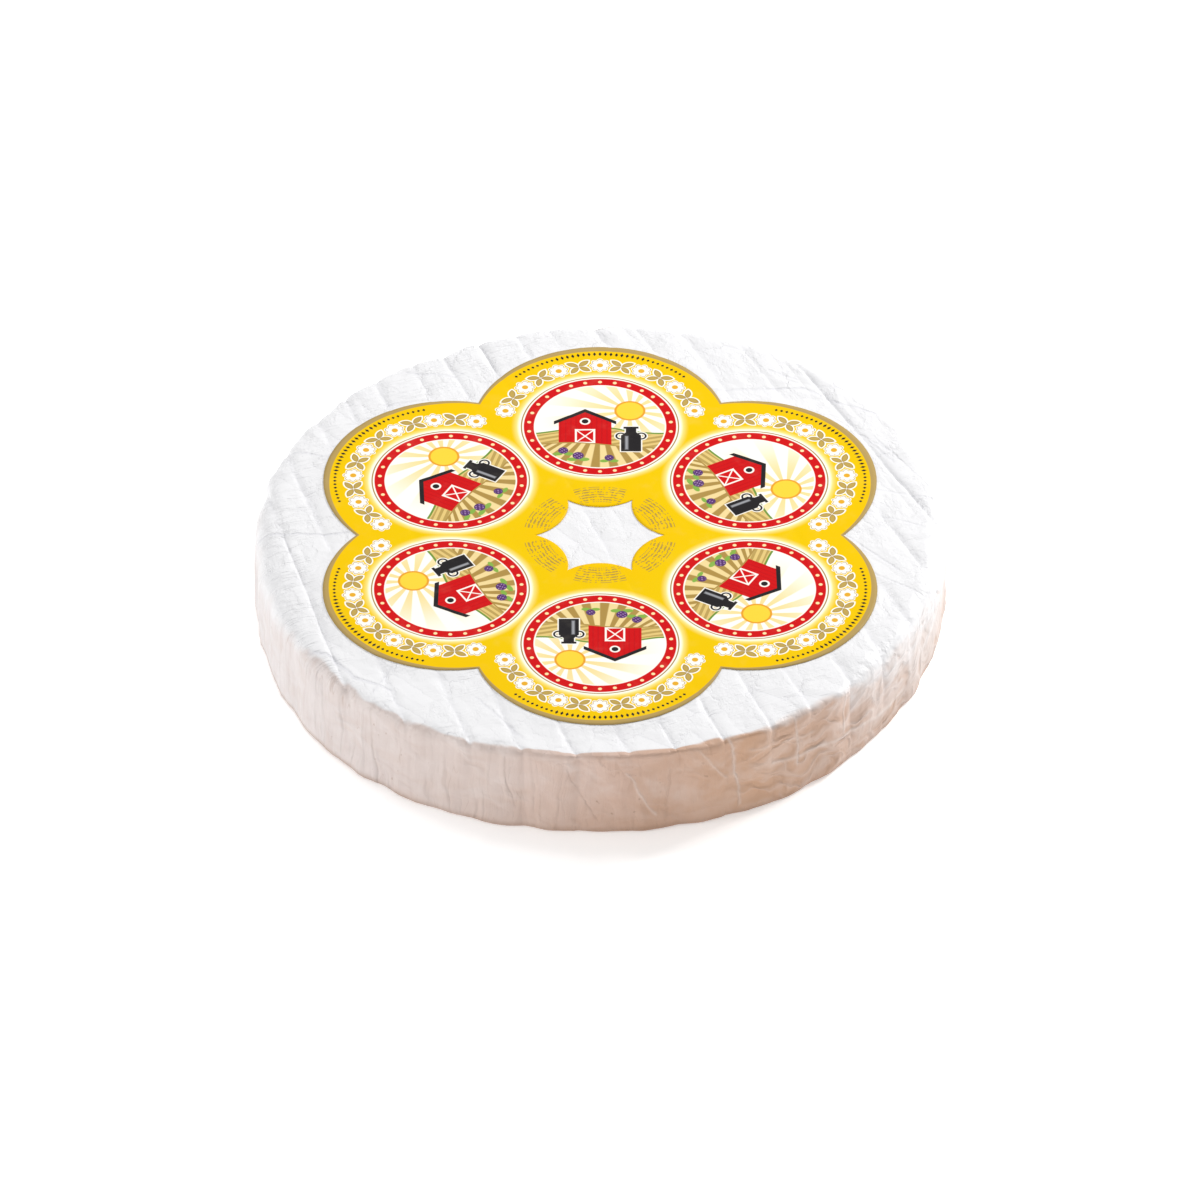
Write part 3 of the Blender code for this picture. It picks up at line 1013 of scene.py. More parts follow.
def top_bump(tree, x, y, across, along):
    """Fine relief of the top in metres, and a mask that is 1 or more on its creases, where painted shade is
    laid.

    It is the sum of tight wrinkles across the pleats, gathers along the front rim, crumple, facets
    of two sizes and the straight creases.
    """
    radius = length_of(x, y)
    left_rim = (-0.120 - x - y * 0.20).step(0.0, 0.016)
    back_rim = radius.step(0.112, 0.130) * (0.03 - x).step(0.0, 0.08) * y.step(-0.06, 0.02)
    tight = patches(tree, vector_of(tree, across, along * 0.5, 3.0), 34.0, 0.42, 0.62) * 0.7
    tight = tight.most(left_rim * 1.6).most(back_rim * 1.3)
    wrinkles = noise_field(tree, vector_of(tree, across * 85.0, along * 560.0), 1.0, 1.0)
    height = abs(wrinkles - 0.5) * tight * WRINKLE_HEIGHT

    arc = angle_of(x, y * -1.0) * bpy.context.scene.cheese_wheel.mean_radius
    front_rim = radius.step(0.126, 0.146) * (y * -1.0 - 0.02).step(0.0, 0.05)
    gathers = noise_field(tree, vector_of(tree, arc * 95.0, radius * 50.0, 4.0), 1.0, 0.0)
    height = height + abs(gathers - 0.5) * front_rim * GATHER_HEIGHT

    crumple = noise_field(tree, vector_of(tree, across * 1.4, along), 130.0, 3.0, 0.60)
    bent = vector_of(tree, across * 60.0 + crumple * 0.7, along * 45.0 + crumple * 0.7)
    line, facet = place_creases(tree, bent, 0.03)
    line = line * patches(tree, vector_of(tree, across, along, 7.0), 42.0, 0.50, 0.56)
    bent_more = vector_of(tree, across * 120.0 + crumple * 1.2, along * 190.0 + crumple * 1.2)
    _, small_facet = place_creases(tree, bent_more, 0.07)
    height = height + (crumple - 0.5) * TOP_CRUMPLE_HEIGHT + facet * TOP_FACET_HEIGHT
    height = height + small_facet * SMALL_FACET_HEIGHT - line * TOP_LINE_DEPTH

    wobble_x = x + crumple * 0.0016 - LABEL_CENTRE[0]
    wobble_y = y + crumple * 0.0016 - LABEL_CENTRE[1]
    creases = crease_lines(tree, vector_of(tree, wobble_x, wobble_y),
                           [[value * MILLIMETRE for value in crease] for crease in TOP_CREASES])
    return height - creases * TOP_CREASE_GAIN, line + abs(creases * 6000.0).least(1.0) * 2.6


def wall_bump(tree, arc, z):
    """Fine relief of the wall in metres, and masks of what shows on it.

    The masks are of hairlines, creases (ridges above 0, which get a painted highlight, and grooves
    below, which get painted shade), streaks with painted shade between them, film that stands off
    the rind and is also painted lighter as a highlight, and dents where it clings, which also get
    painted shade. The film is streaked upright on the left and folded round dents on the right.
    """
    left = (arc * -1.0).step(0.0, 0.10) * (arc + 0.34).step(0.0, 0.08)
    right = (arc - 0.045).step(0.0, 0.05) * (0.26 - arc).step(0.0, 0.05)
    crumple = noise_field(tree, vector_of(tree, arc, z, 2.0), 150.0, 4.0, 0.65)
    sway = noise_field(tree, vector_of(tree, arc, z, 4.0), 45.0, 2.0, 0.5)

    lean = arc + sway * 0.006 + crumple * 0.0005
    uprights = noise_field(tree, vector_of(tree, lean * 190.0, z * 26.0, 5.0), 1.0, 1.0, 0.5)
    fine = noise_field(tree, vector_of(tree, lean * 480.0, z * 50.0, 6.0), 1.0, 1.0)
    tight = patches(tree, vector_of(tree, arc, z * 0.6, 9.0), 30.0, 0.38, 0.60)
    streaks = (uprights - 0.5) * STREAK_HEIGHT + abs(uprights - 0.5) * STREAK_EDGE_HEIGHT
    streaks = streaks + abs(fine - 0.5) * FINE_STREAK_HEIGHT
    height = streaks * (left * 1.3 + 0.9) * (tight * 0.6 + 0.4) * (1.0 - right * 0.5)

    slanted = vector_of(tree, arc * 52.0 + z * 22.0 + sway * 2.6, z * 104.0 + sway * 2.6, 8.0)
    dents = abs(noise_field(tree, slanted, 1.0, 1.5, 0.45) - 0.5)
    height = height - dents * (right * 0.72 + 0.28) * DENT_DEPTH

    bent = vector_of(tree, arc * 48.0 + sway * 2.4, z * 56.0 + sway * 2.4)
    _, facet = place_creases(tree, bent, 0.02)
    height = height + (crumple - 0.5) * WALL_CRUMPLE_HEIGHT + facet * (right * 0.6 + 0.4) * WALL_FACET_HEIGHT

    shift = (sway - 0.5) * 0.006
    wobble = vector_of(tree, arc + (crumple - 0.5) * 0.0020 + shift, z + shift)
    radius = bpy.context.scene.cheese_wheel.mean_radius
    creases = crease_lines(tree, wobble, [
        (math.radians(start + 90.0) * radius, low * MILLIMETRE, math.radians(end + 90.0) * radius,
         high * MILLIMETRE, ridge * MILLIMETRE, width * MILLIMETRE)
        for start, low, end, high, ridge, width in WALL_CREASES])

    shown = patches(tree, vector_of(tree, arc, z, 11.0), 70.0, 0.55, 0.62)
    masks = {
        "hair": hairlines(uprights, 0.012) * shown * (left * 0.4 + 0.6),
        "ridge": (creases * 5000.0).least(1.0).most(0.0),
        "groove": (creases * -5000.0).least(1.0).most(0.0),
        "streak": (0.5 - uprights + (0.5 - fine) * 0.5).step(0.02, 0.22) * (left * 0.8 + 0.2),
        "lifted_and_lit": (1.0 - dents.step(0.0, 0.11)) * (right * 0.75 + 0.25),
        "sunk": dents.step(0.05, 0.17) * (right * 0.75 + 0.25),
    }
    return height + creases * WALL_CREASE_GAIN, masks


def wall_tints(tree, x):
    """The wall's colour from left to right: the rind shows through the film most at the right front, and the
    change from a lighter left to a darker, warmer right front is partly painted shade.
    """
    ramp = tree.nodes.new("ShaderNodeValToRGB")
    stops = (
        (-0.150, (0.77, 0.735, 0.735)),
        (-0.115, (0.72, 0.65, 0.63)),
        (-0.045, (0.68, 0.56, 0.51)),
        (0.010, (0.66, 0.46, 0.37)),
        (0.065, (0.60, 0.355, 0.22)),
        (0.105, (0.62, 0.435, 0.345)),
        (0.140, (0.73, 0.69, 0.68)),
    )
    elements = ramp.color_ramp.elements
    while len(elements) < len(stops):
        elements.new(0.5)
    for element, (place, tint) in zip(elements, stops):
        element.position = place / 0.32 + 0.5
        element.color = (*tint, 1.0)
    share = x / 0.32 + 0.5
    tree.links.new(share.socket, ramp.inputs["Fac"])
    return ramp.outputs["Color"]


def wall_colours(tree, wheel, place, arc, height, masks, cloud):
    """The wall's tints with the rind's stains, a warm foot, pale veils that are partly painted sheen,
    and the masks' marks over them, among which are painted shade and painted highlights.
    """
    x, y, z = split_vector(tree, place)
    rind = tuple(wheel.rind_colour)
    behind = y.step(-0.02, 0.10)
    front = 1.0 - behind
    # Painted shade: the far side, which the key light strikes, is darkened to look like the shaded front
    colour = paint(tree, wall_tints(tree, x), FAR_SIDE_SHADE, behind * 0.85)
    colour = paint(tree, colour, rind, cloud.step(0.44, 0.78) * x.step(-0.12, 0.06) * front * 0.40)
    colour = paint(tree, colour, PALE_FILM_AND_SHEEN, (1.0 - cloud).step(0.46, 0.80) * 0.20)
    # The low places of the wall's relief are darkened: partly the rind where the film clings, partly painted
    # shade in the hollows
    clinging_and_shaded = 1.0 - (height * 900.0).least(1.0).most(0.0)
    colour = paint(tree, colour, DARK_RIND_AND_SHADE, clinging_and_shaded * 0.05)
    foot = (0.030 - z).step(0.0, 0.030) * front * x.step(-0.10, 0.02)
    colour = paint(tree, colour, rind, foot * 0.40)
    low_edge = (0.0045 - z).step(0.0, 0.004) * (cloud * 0.9 + 0.3)
    colour = paint(tree, colour, DARK_RIND_AND_SHADE, low_edge * 0.75)
    colour = paint(tree, colour, DARK_RIND_AND_SHADE, masks["hair"] * 0.30)
    # Painted shade between the upright streaks on the left
    colour = paint(tree, colour, STREAK_SHADE, masks["streak"] * 0.30)
    # Pale veils: partly film standing off the rind, partly a painted sheen
    veil_and_sheen = noise_field(tree, vector_of(tree, arc * 55.0 + z * 25.0, z * 70.0, 15.0), 1.0, 3.0, 0.6)
    colour = paint(tree, colour, PALE_FILM_AND_SHEEN, veil_and_sheen.step(0.48, 0.70) * (z * 12.0).least(0.40) * 0.62)
    # Dents darker and the film standing off them lighter: partly rind and film, partly painted shade and
    # painted highlight
    colour = paint(tree, colour, rind, masks["sunk"] * front * 0.32)
    colour = paint(tree, colour, PALE_FILM_AND_SHEEN, masks["lifted_and_lit"] * 0.16)
    # Painted highlight along the crease ridges
    colour = paint(tree, colour, RIDGE_HIGHLIGHT, masks["ridge"] * cloud * 0.50)
    # Painted shade in the crease grooves
    colour = paint(tree, colour, DARK_RIND_AND_SHADE, masks["groove"] * 0.13)
    specks = noise_field(tree, place, 330.0, 1.0).step(0.72, 0.80)
    return paint(tree, colour, DARK_RIND_AND_SHADE, specks * cloud.step(0.48, 0.6) * 0.5)


def wall_share_mask(tree, place, cloud):
    """0 on the white top and 1 on the wall, with a ragged border between them.

    The border is at the rim in front, and lower behind and at both ends. It is softest at the ends.
    """
    x, y, _ = split_vector(tree, place)
    wall = attribute_field(tree, "wall_share")
    groove = attribute_field(tree, "groove_share")
    ragged = noise_field(tree, place, 75.0, 2.0, 0.5)
    far_left = (-0.118 - x).step(0.0, 0.030)
    right = x.step(0.02, 0.11)
    behind = y.step(0.0, 0.08)
    far_right = x.step(0.095, 0.140) * (1.0 - behind)
    border = wall - groove * 0.14 + (cloud - 0.5) * (right * 0.9 + 0.55) + (ragged - 0.5) * 0.70
    front = x.step(-0.08, 0.02) * (1.0 - x.step(0.07, 0.11) * 0.8)
    border = border + front * 0.24 - far_left * 0.25 - far_right * 0.42 - behind * 0.34
    spread = right * 0.75 + far_left * 0.60 + 0.20
    return ((border - BORDER_LEVEL) / spread).step(0.0, 1.0) * wall.step(0.0, 0.25)


def wrap_material(wheel):
    """White wrap: bright on top, with the rind's beige showing through on the wall, where the darker colour
    is partly painted shade.
    """
    material, tree, shader = start_material("creased_wrap", 0.45)
    place = tree.nodes.new("ShaderNodeTexCoord").outputs["Object"]
    x, y, z = split_vector(tree, place)
    from_fan_x = x - (LABEL_CENTRE[0] - wheel.fan_distance * math.sin(wheel.fan_heading))
    to_fan_y = (LABEL_CENTRE[1] + wheel.fan_distance * math.cos(wheel.fan_heading)) - y
    across = (angle_of(from_fan_x, to_fan_y) - wheel.fan_heading) * wheel.fan_distance
    along = length_of(from_fan_x, to_fan_y)
    arc = angle_of(x, y * -1.0) * wheel.mean_radius

    top_height, top_crease_shade = top_bump(tree, x, y, across, along)
    wall_height, masks = wall_bump(tree, arc, z)
    grain, mottle = place_grain(tree, place, 0.0006)
    down = attribute_field(tree, "wall_share").step(0.50, 1.0)
    add_bump(tree, shader, top_height * (1.0 - down) + wall_height * down + grain * 0.000012)

    cloud = noise_field(tree, place, 26.0, 4.0, 0.65)
    # Painted shade: the top's grooves and creases are greyed where shade falls in them
    fold_shade = attribute_field(tree, "groove_share") * 0.15 + top_crease_shade * 0.15
    top_colour = paint(tree, tuple(wheel.top_colour), FOLD_SHADE_GREY, fold_shade)
    wall_colour = wall_colours(tree, wheel, place, arc, wall_height, masks, cloud)
    colour = paint(tree, top_colour, wall_colour, wall_share_mask(tree, place, cloud))
    tree.links.new(colour, shader.inputs["Base Color"])
    rough = 0.40 + mottle * 0.15
    tree.links.new(rough.socket, shader.inputs["Roughness"])
    return material


class CHEESE_OT_wrap(Operator):
    """Build the wheel in its creased white wrap"""

    bl_idname = "cheese.build_wrap"
    bl_label = "Build wrap"

    def execute(self, context):
        wheel = context.scene.cheese_wheel
        points, quads, triangles = wrap_surface(wheel)
        grooves = groove_share(points[:, 0], points[:, 1], wheel)
        shares = points[:, 3].copy()
        points = fit_to_box(points[:, :3], WHEEL_LOW, WHEEL_HIGH)
        polygons = quads.tolist() + triangles.tolist()
        piece = new_piece("creased_wrap", points, polygons, WHEEL_NODE, wrap_material(wheel))
        for name, values in (("wall_share", shares), ("groove_share", grooves)):
            attribute = piece.data.attributes.new(name, "FLOAT", "POINT")
            attribute.data.foreach_set("value", values.astype(np.float32))
        return {"FINISHED"}


def label_radii(azimuth, label):
    """Outer and inner radius of the label at an azimuth from a disc's own direction.

    Outer: the far crossing of a ray with the disc, d cos(a) + sqrt(r^2 - (d sin(a))^2).
    Inner: the near crossing of the ray with the star's arc, D cos(a) - sqrt(s^2 - (D sin(a))^2).
    """
    outer = (label.disc_offset * np.cos(azimuth)
             + np.sqrt(label.disc_radius ** 2 - (label.disc_offset * np.sin(azimuth)) ** 2))
    inner = (label.star_offset * np.cos(azimuth)
             - np.sqrt(label.star_radius ** 2 - (label.star_offset * np.sin(azimuth)) ** 2))
    return outer, inner


def build_label_mesh(label, wheel):
    """The label as a polar grid: azimuth by the share of the way from the star-shaped hole outwards.

    Each point is inner + share * (outer - inner) along its ray. An upper sheet and a lower sheet,
    one thickness apart, are joined round both outlines.
    """
    per_disc, rings = 120, 64
    sector = 2.0 * math.pi / label.discs
    step = sector / per_disc
    count = label.discs * per_disc
    index = np.arange(count)
    local = (index % per_disc) * step - sector / 2.0
    azimuth = math.pi / 2.0 - sector / 2.0 + index * step
    outer, inner = label_radii(local, label)
    share = np.linspace(0.0, 1.0, rings + 1)[None, :]
    radius = inner[:, None] + share * (outer - inner)[:, None]
    x = radius * np.cos(azimuth)[:, None]
    y = radius * np.sin(azimuth)[:, None]
    top = wheel.height - top_relief(x.ravel(), y.ravel(), wheel).reshape(x.shape) + LABEL_LIFT
    upper = np.stack([x + LABEL_CENTRE[0], y + LABEL_CENTRE[1], top], axis=2).reshape(-1, 3)
    lower = upper - np.array([0.0, 0.0, label.thickness])
    number = np.arange(count * (rings + 1)).reshape(count, rings + 1)
    after = np.roll(number, -1, axis=0)
    sheet = np.stack([number[:, :-1], number[:, 1:], after[:, 1:], after[:, :-1]], axis=2).reshape(-1, 4)
    below = sheet[:, ::-1] + len(upper)
    down = len(upper)
    rim = np.stack([number[:, -1], number[:, -1] + down, after[:, -1] + down, after[:, -1]], axis=1)
    hole = np.stack([number[:, 0], after[:, 0], after[:, 0] + down, number[:, 0] + down], axis=1)
    faces = np.concatenate([sheet, below, rim, hole])
    face_disc = np.concatenate([np.repeat(index // per_disc, rings), np.repeat(index // per_disc, rings),
                                index // per_disc, index // per_disc])
    return np.concatenate([upper, lower]), faces, face_disc


def label_coordinates(points, faces, face_disc, label):
    """For each face corner, the place in its own disc in millimetres: right, and outwards."""
    corner = points[faces.ravel(), :2] - LABEL_CENTRE
    azimuth = np.repeat(math.pi / 2.0 + face_disc * 2.0 * math.pi / label.discs, 4)
    outward = corner[:, 0] * np.cos(azimuth) + corner[:, 1] * np.sin(azimuth) - label.disc_offset
    right = corner[:, 0] * np.sin(azimuth) - corner[:, 1] * np.cos(azimuth)
    return np.stack([right, outward], axis=1) / MILLIMETRE


def soft_edge(distance, blur=0.16):
    """1 inside a shape and 0 outside, from its signed distance in millimetres (negative inside)."""
    return (distance * -1.0).step(-blur, blur)


def print_ground(tree, p, q, label):
    """The yellow ground, the gold crescent along the outer edge and the white glow in the middle."""
    radius = length_of(p, q)
    ground = paint(tree, tuple(label.ground), (0.95, 0.50, 0.0), radius.step(36.0, 62.0) * 0.30)
    disc = label.disc_radius / MILLIMETRE
    crescent = soft_edge(disc - length_of(p, q + CRESCENT_WIDTH))
    ground = paint(tree, ground, (0.46, 0.32, 0.11), crescent)
    ground = paint(tree, ground, (1.0, 0.86, 0.36), (39.0 - radius).step(0.0, 4.5))
    return paint(tree, ground, CREAM, (36.5 - radius).step(0.0, 2.0))


def print_garland(tree, colour, p, q):
    """A garland of daisies over the outer side, with crossed leaves between each two."""
    turn = angle_of(p, q)
    local = (turn / GARLAND_SPACING).join("PINGPONG", 0.5) * GARLAND_SPACING
    side = local * GARLAND_RADIUS
    out = length_of(p, q) - GARLAND_RADIUS
    shown = soft_edge((abs(turn) - GARLAND_SPACING * 3.0) * GARLAND_RADIUS - 5.6)
    leaf_along = (side - 6.9) * -0.80 + (abs(out) - 1.9) * 0.60
    leaf_aside = (side - 6.9) * 0.60 + (abs(out) - 1.9) * 0.80
    past_end = (abs(turn) - GARLAND_SPACING * 3.0) * GARLAND_RADIUS
    leaf = (length_of(leaf_along, abs(leaf_aside) + 2.2) - 3.6).most(past_end)
    bloom = length_of(side, out)
    petals = abs((angle_of(side, out) * 4.0).cosine())
    petal_edge = petals * 1.0 + 2.9
    colour = paint(tree, colour, CREAM, soft_edge((bloom - petal_edge - 0.8).least(leaf - 0.6)) * shown)
    colour = paint(tree, colour, GOLD, soft_edge((bloom - petal_edge - 0.35).least(leaf)) * shown)
    colour = paint(tree, colour, (0.52, 0.36, 0.09), soft_edge(leaf + 0.4) * shown)
    colour = paint(tree, colour, CREAM, soft_edge(bloom - petal_edge) * shown)
    return paint(tree, colour, (0.80, 0.42, 0.03), soft_edge(bloom - 1.4) * shown)


def print_picture(tree, colour, p, q):
    """A round farm picture in a red ring: sun and rays, golden fields, a barn, a milk churn and clover."""
    radius = length_of(p, q)
    inner = RING_RADIUS - RING_WIDTH / 2.0
    outer = RING_RADIUS + RING_WIDTH / 2.0
    turn = angle_of(p, q)

    sun_p = p - SUN_PLACE[0]
    sun_q = q - SUN_PLACE[1]
    sun = length_of(sun_p, sun_q)
    rays = (angle_of(sun_p, sun_q) * 14.0).cosine().step(-0.25, 0.25)
    sky = paint(tree, CREAM, (0.96, 0.68, 0.22), rays * (44.0 - sun).step(0.0, 38.0) * 0.85)
    sky = paint(tree, sky, (0.80, 0.36, 0.03), soft_edge(sun - 6.8))
    sky = paint(tree, sky, (1.0, 0.66, 0.05), soft_edge(sun - 5.8))

    far_field = q + 3.0 - (p * 0.11 + 1.9).sine() * 2.2
    sky = paint(tree, sky, (0.16, 0.30, 0.05), soft_edge(far_field - 1.0))
    sky = paint(tree, sky, PALE_GOLD, soft_edge(far_field))
    rows = ((q - p * 0.25) * 2.2).sine().step(-0.2, 0.2)
    sky = paint(tree, sky, GOLD, soft_edge(far_field + 0.6) * rows * 0.7)
    sky = print_barn(tree, sky, p - BARN_PLACE[0], q - BARN_PLACE[1])
    near_field = q + 12.5 + (p * 0.09 - 0.4).sine() * 1.8
    sky = paint(tree, sky, (0.42, 0.27, 0.07), soft_edge(near_field))
    furrows = (p * 24.0 / (q * -1.0 + 4.0)).sine().step(-0.3, 0.3)
    sky = paint(tree, sky, (0.86, 0.68, 0.32), soft_edge(near_field + 0.7) * furrows)
    sky = print_churn(tree, sky, p - CHURN_PLACE[0], q - CHURN_PLACE[1])
    for place_p, place_q, size in CLOVERS:
        sky = print_clover(tree, sky, p - place_p, q - place_q, size)

    colour = paint(tree, colour, GOLD, soft_edge(radius - outer - 1.3))
    colour = paint(tree, colour, CREAM, soft_edge(radius - outer - 0.7))
    colour = paint(tree, colour, RED, soft_edge(radius - outer))
    dot_side = (turn / math.radians(12)).join("PINGPONG", 0.5) * math.radians(12) * RING_RADIUS
    dots = length_of(dot_side, radius - RING_RADIUS) - 0.85
    colour = paint(tree, colour, (1.0, 0.80, 0.42), soft_edge(dots))
    colour = paint(tree, colour, CREAM, soft_edge(radius - inner))
    return paint(tree, colour, sky, soft_edge(radius - inner + 0.6))


def box_distance(p, q, half_width, half_height):
    """Distance outside an upright box round the origin, and less than 0 inside it."""
    return (abs(p) - half_width).most(abs(q) - half_height)


def print_barn(tree, colour, p, q):
    """A red barn with boards, a dark roof, a cross on its door and a round window."""
    body = box_distance(p, q, 11.5, 12.0).most(q + abs(p) * 0.72 - 12.0)
    colour = paint(tree, colour, RED, soft_edge(body))
    boards = (p * 2.8).sine().step(0.5, 0.9)
    colour = paint(tree, colour, (0.46, 0.006, 0.010), soft_edge(body) * boards * 0.5)
    roof = (abs(q + abs(p) * 0.62 - 11.6) - 1.15).most(abs(p) - 13.6)
    colour = paint(tree, colour, BLACK, soft_edge(roof))
    door = box_distance(p, q + 6.0, 4.4, 4.8)
    colour = paint(tree, colour, CREAM, soft_edge(door))
    colour = paint(tree, colour, RED, soft_edge(door + 0.8))
    cross = (abs(abs(p) - abs(q + 6.0) * 0.92) - 0.40).most(door)
    colour = paint(tree, colour, CREAM, soft_edge(cross))
    window = length_of(p, q - 4.2)
    colour = paint(tree, colour, CREAM, soft_edge(window - 2.3))
    return paint(tree, colour, BLACK, soft_edge(window - 1.5))


def print_churn(tree, colour, p, q):
    """A dark milk churn: a body, a neck, a lid and two handles, with one pale stripe of light."""
    body = box_distance(p, q + 2.0, 4.4, 5.6)
    shoulder = (abs(p) + q * 0.9 - 7.4).most(abs(q - 4.6) - 1.8).most(abs(p) - 4.4)
    neck = box_distance(p, q - 6.9, 2.3, 1.6)
    lid = box_distance(p, q - 8.8, 3.3, 0.7)
    handles = abs(length_of((abs(p) - 4.4), q - 3.0) - 2.0) - 0.45
    shape = body.least(shoulder).least(neck).least(lid).least(handles)
    colour = paint(tree, colour, CREAM, soft_edge(shape - 0.5))
    colour = paint(tree, colour, BLACK, soft_edge(shape))
    shine = (abs(p + 1.9) - 0.6).most(abs(q + 1.6) - 4.6)
    return paint(tree, colour, (0.42, 0.43, 0.46), soft_edge(shine, 0.5) * 0.8)


def print_clover(tree, colour, p, q, size):
    """A purple clover head with pale flecks, on two leaves."""
    leaf = length_of((abs(p) - size * 0.9) / (size * 0.8), (q + size * 0.9) / (size * 0.42)) - 1.0
    colour = paint(tree, colour, (0.24, 0.44, 0.07), soft_edge(leaf * size * 0.4, 0.12))
    head = length_of(p, q) - size * 0.85
    colour = paint(tree, colour, (0.10, 0.040, 0.16), soft_edge(head))
    flecks = ((p * 3.3).sine() * (q * 3.3 + p).sine()).step(0.35, 0.6)
    return paint(tree, colour, (0.42, 0.26, 0.52), soft_edge(head + 0.5) * flecks)


def print_rules(tree, colour, p, q, label):
    """Fine broken rules along the inner side, and a row of lozenges along the outer edge."""
    hub_q = q + label.disc_offset / MILLIMETRE
    hub_radius = length_of(p, hub_q)
    arc = angle_of(p, hub_q) * 28.0
    row = hub_radius / 1.75
    dashes = noise_field(tree, vector_of(tree, arc * 0.9, row.join("FLOOR") * 9.1), 1.0, 0.0).step(0.44, 0.47)
    lines = (row.join("PINGPONG", 0.5) - 0.22).step(0.0, 0.08)
    block = (abs(hub_radius - 28.0) - 5.2).most(abs(arc) - 10.5)
    colour = paint(tree, colour, (0.33, 0.22, 0.07), soft_edge(block) * dashes * (1.0 - lines) * 0.75)
    rule_arc = angle_of(p, q) * RULE_RADIUS
    strong = (20.0 - abs(rule_arc)).step(0.0, 0.5)
    size = strong * 0.45 + 0.85
    along = (rule_arc / 2.4).join("PINGPONG", 0.5) * 2.4
    lozenge = abs(along) / 0.72 + abs(length_of(p, q) - RULE_RADIUS) / size - 1.0
    spread = (42.0 - abs(rule_arc)).step(0.0, 0.5)
    return paint(tree, colour, BLACK, soft_edge(lozenge) * spread)


def label_material(label):
    """Printed semi-gloss paper. The print is worked out from each disc's own coordinates."""
    material, tree, shader = start_material("printed_label", 0.38)
    uv = tree.nodes.new("ShaderNodeUVMap")
    uv.uv_map = "disc_place"
    p, q, _ = split_vector(tree, uv.outputs["UV"])
    colour = print_ground(tree, p, q, label)
    colour = print_garland(tree, colour, p, q)
    colour = print_picture(tree, colour, p, q)
    colour = print_rules(tree, colour, p, q, label)
    place = tree.nodes.new("ShaderNodeTexCoord").outputs["Object"]
    grain, mottle = place_grain(tree, place, 0.0005)
    colour = paint(tree, colour, (0.90, 0.80, 0.60), mottle.step(0.5, 0.9) * 0.05)
    tree.links.new(colour, shader.inputs["Base Color"])
    rough = 0.34 + mottle * 0.10
    tree.links.new(rough.socket, shader.inputs["Roughness"])
    shader.inputs["Specular IOR Level"].default_value = 0.06
    add_bump(tree, shader, grain * 0.000008)
    return material


class CHEESE_OT_label(Operator):
    """Build the printed rosette label that lies on the wrap"""

    bl_idname = "cheese.build_label"
    bl_label = "Build label"

    def execute(self, context):
        label = context.scene.cheese_label
        points, faces, face_disc = build_label_mesh(label, context.scene.cheese_wheel)
        material = label_material(label)
        piece = new_piece("rosette_label", points, faces.tolist(), LABEL_NODE, material)
        layer = piece.data.uv_layers.new(name="disc_place")
        places = label_coordinates(points, faces, face_disc, label)
        layer.data.foreach_set("uv", places.astype(np.float32).ravel())
        return {"FINISHED"}


def area_light(name, place, aim, size, power, colour):
    """A square soft light at a place, turned to an aim point."""
    data = bpy.data.lights.new(name, "AREA")
    data.size = size
    data.energy = power
    data.color = colour
    light = bpy.data.objects.new(name, data)
    light.location = place
    light.rotation_euler = (Vector(aim) - Vector(place)).to_track_quat("-Z", "Y").to_euler()
    bpy.context.scene.collection.objects.link(light)


def floor_material():
    """Plain pale floor with the faintest mottle."""
    material, tree, shader = start_material("pale_floor", 0.9)
    place = tree.nodes.new("ShaderNodeTexCoord").outputs["Object"]
    cloud = noise_field(tree, place, 3.0, 2.0)
    tree.links.new(paint(tree, (0.93, 0.93, 0.93), (0.95, 0.95, 0.95), cloud), shader.inputs["Base Color"])
    shader.inputs["Emission Color"].default_value = WHITE
    shader.inputs["Emission Strength"].default_value = FLOOR_GLOW
    return material


def build_floor():
    """A square flat floor."""
    mesh = bpy.data.meshes.new("floor")
    half = FLOOR_HALF_WIDTH
    corners = [(-half, -half, 0.0), (half, -half, 0.0), (half, half, 0.0), (-half, half, 0.0)]
    mesh.from_pydata(corners, [], [(0, 1, 2, 3)])
    mesh.materials.append(floor_material())
    floor = bpy.data.objects.new("floor", mesh)
    bpy.context.scene.collection.objects.link(floor)


def build_room():
    """Even white light from all round."""
    world = bpy.data.worlds.new("pale_room")
    world.use_nodes = True
    background = world.node_tree.nodes["Background"]
    background.inputs["Color"].default_value = WHITE
    background.inputs["Strength"].default_value = ROOM_BRIGHTNESS
    bpy.context.scene.world = world


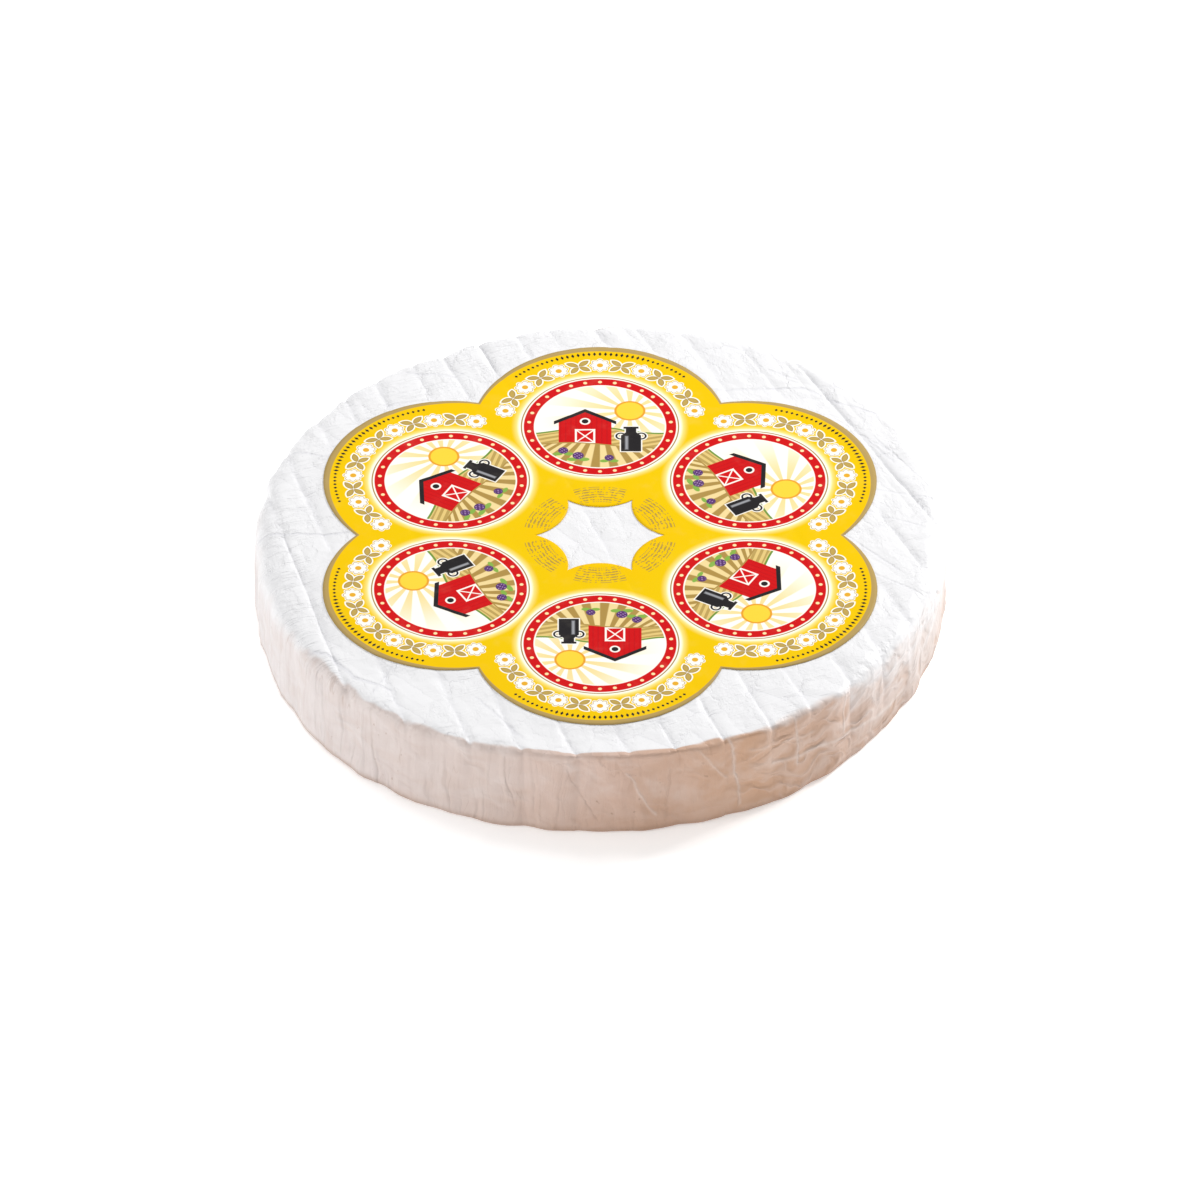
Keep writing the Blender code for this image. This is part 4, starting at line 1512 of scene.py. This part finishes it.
def build_camera(stage):
    """A camera in front of the wheel, aimed a little below the middle of its top."""
    up = Vector((0.0, math.sin(stage.elevation), math.cos(stage.elevation)))
    back = Vector((0.0, -math.cos(stage.elevation), math.sin(stage.elevation)))
    top_middle = Vector((LABEL_CENTRE[0], LABEL_CENTRE[1], CAD_BOX[1][2]))
    aim = top_middle - up * stage.aim_drop
    data = bpy.data.cameras.new("camera")
    data.sensor_fit = "HORIZONTAL"
    data.angle = 2.0 * math.atan(stage.frame_width / 2.0 / stage.distance)
    data.clip_end = 100.0
    camera = bpy.data.objects.new("camera", data)
    camera.location = aim + back * stage.distance
    camera.rotation_euler = (math.pi / 2.0 - stage.elevation, 0.0, 0.0)
    bpy.context.scene.collection.objects.link(camera)
    bpy.context.scene.camera = camera


class CHEESE_OT_stage(Operator):
    """Set the floor, the soft lights and the camera"""

    bl_idname = "cheese.build_stage"
    bl_label = "Build stage"

    def execute(self, context):
        build_floor()
        build_room()
        for name, place, size, power, colour in LIGHTS:
            area_light(name, place, LIGHTS_AIM, size, power, colour)
        build_camera(context.scene.cheese_stage)
        context.scene.view_settings.view_transform = "Standard"
        return {"FINISHED"}


class CHEESE_PT_panel(Panel):
    """Sizes, colours and the buttons that build the wheel"""

    bl_label = "Wrapped cheese wheel"
    bl_idname = "CHEESE_PT_panel"
    bl_space_type = "VIEW_3D"
    bl_region_type = "UI"
    bl_category = "Cheese"

    def draw(self, context):
        for group in (context.scene.cheese_wheel, context.scene.cheese_label, context.scene.cheese_stage):
            box = self.layout.box()
            for name in group.__annotations__:
                box.prop(group, name)
        for operator in (CHEESE_OT_wrap, CHEESE_OT_label, CHEESE_OT_stage):
            self.layout.operator(operator.bl_idname)


CLASSES = (WheelSettings, LabelSettings, StageSettings, CHEESE_OT_wrap, CHEESE_OT_label, CHEESE_OT_stage,
           CHEESE_PT_panel)


def register():
    for item in CLASSES:
        bpy.utils.register_class(item)
    bpy.types.Scene.cheese_wheel = PointerProperty(type=WheelSettings)
    bpy.types.Scene.cheese_label = PointerProperty(type=LabelSettings)
    bpy.types.Scene.cheese_stage = PointerProperty(type=StageSettings)


def unregister():
    del bpy.types.Scene.cheese_stage
    del bpy.types.Scene.cheese_label
    del bpy.types.Scene.cheese_wheel
    for item in reversed(CLASSES):
        bpy.utils.unregister_class(item)


def main():
    """Build the wrap, the label and the stage."""
    register()
    bpy.ops.cheese.build_wrap()
    bpy.ops.cheese.build_label()
    bpy.ops.cheese.build_stage()


if __name__ == "__main__":
    main()
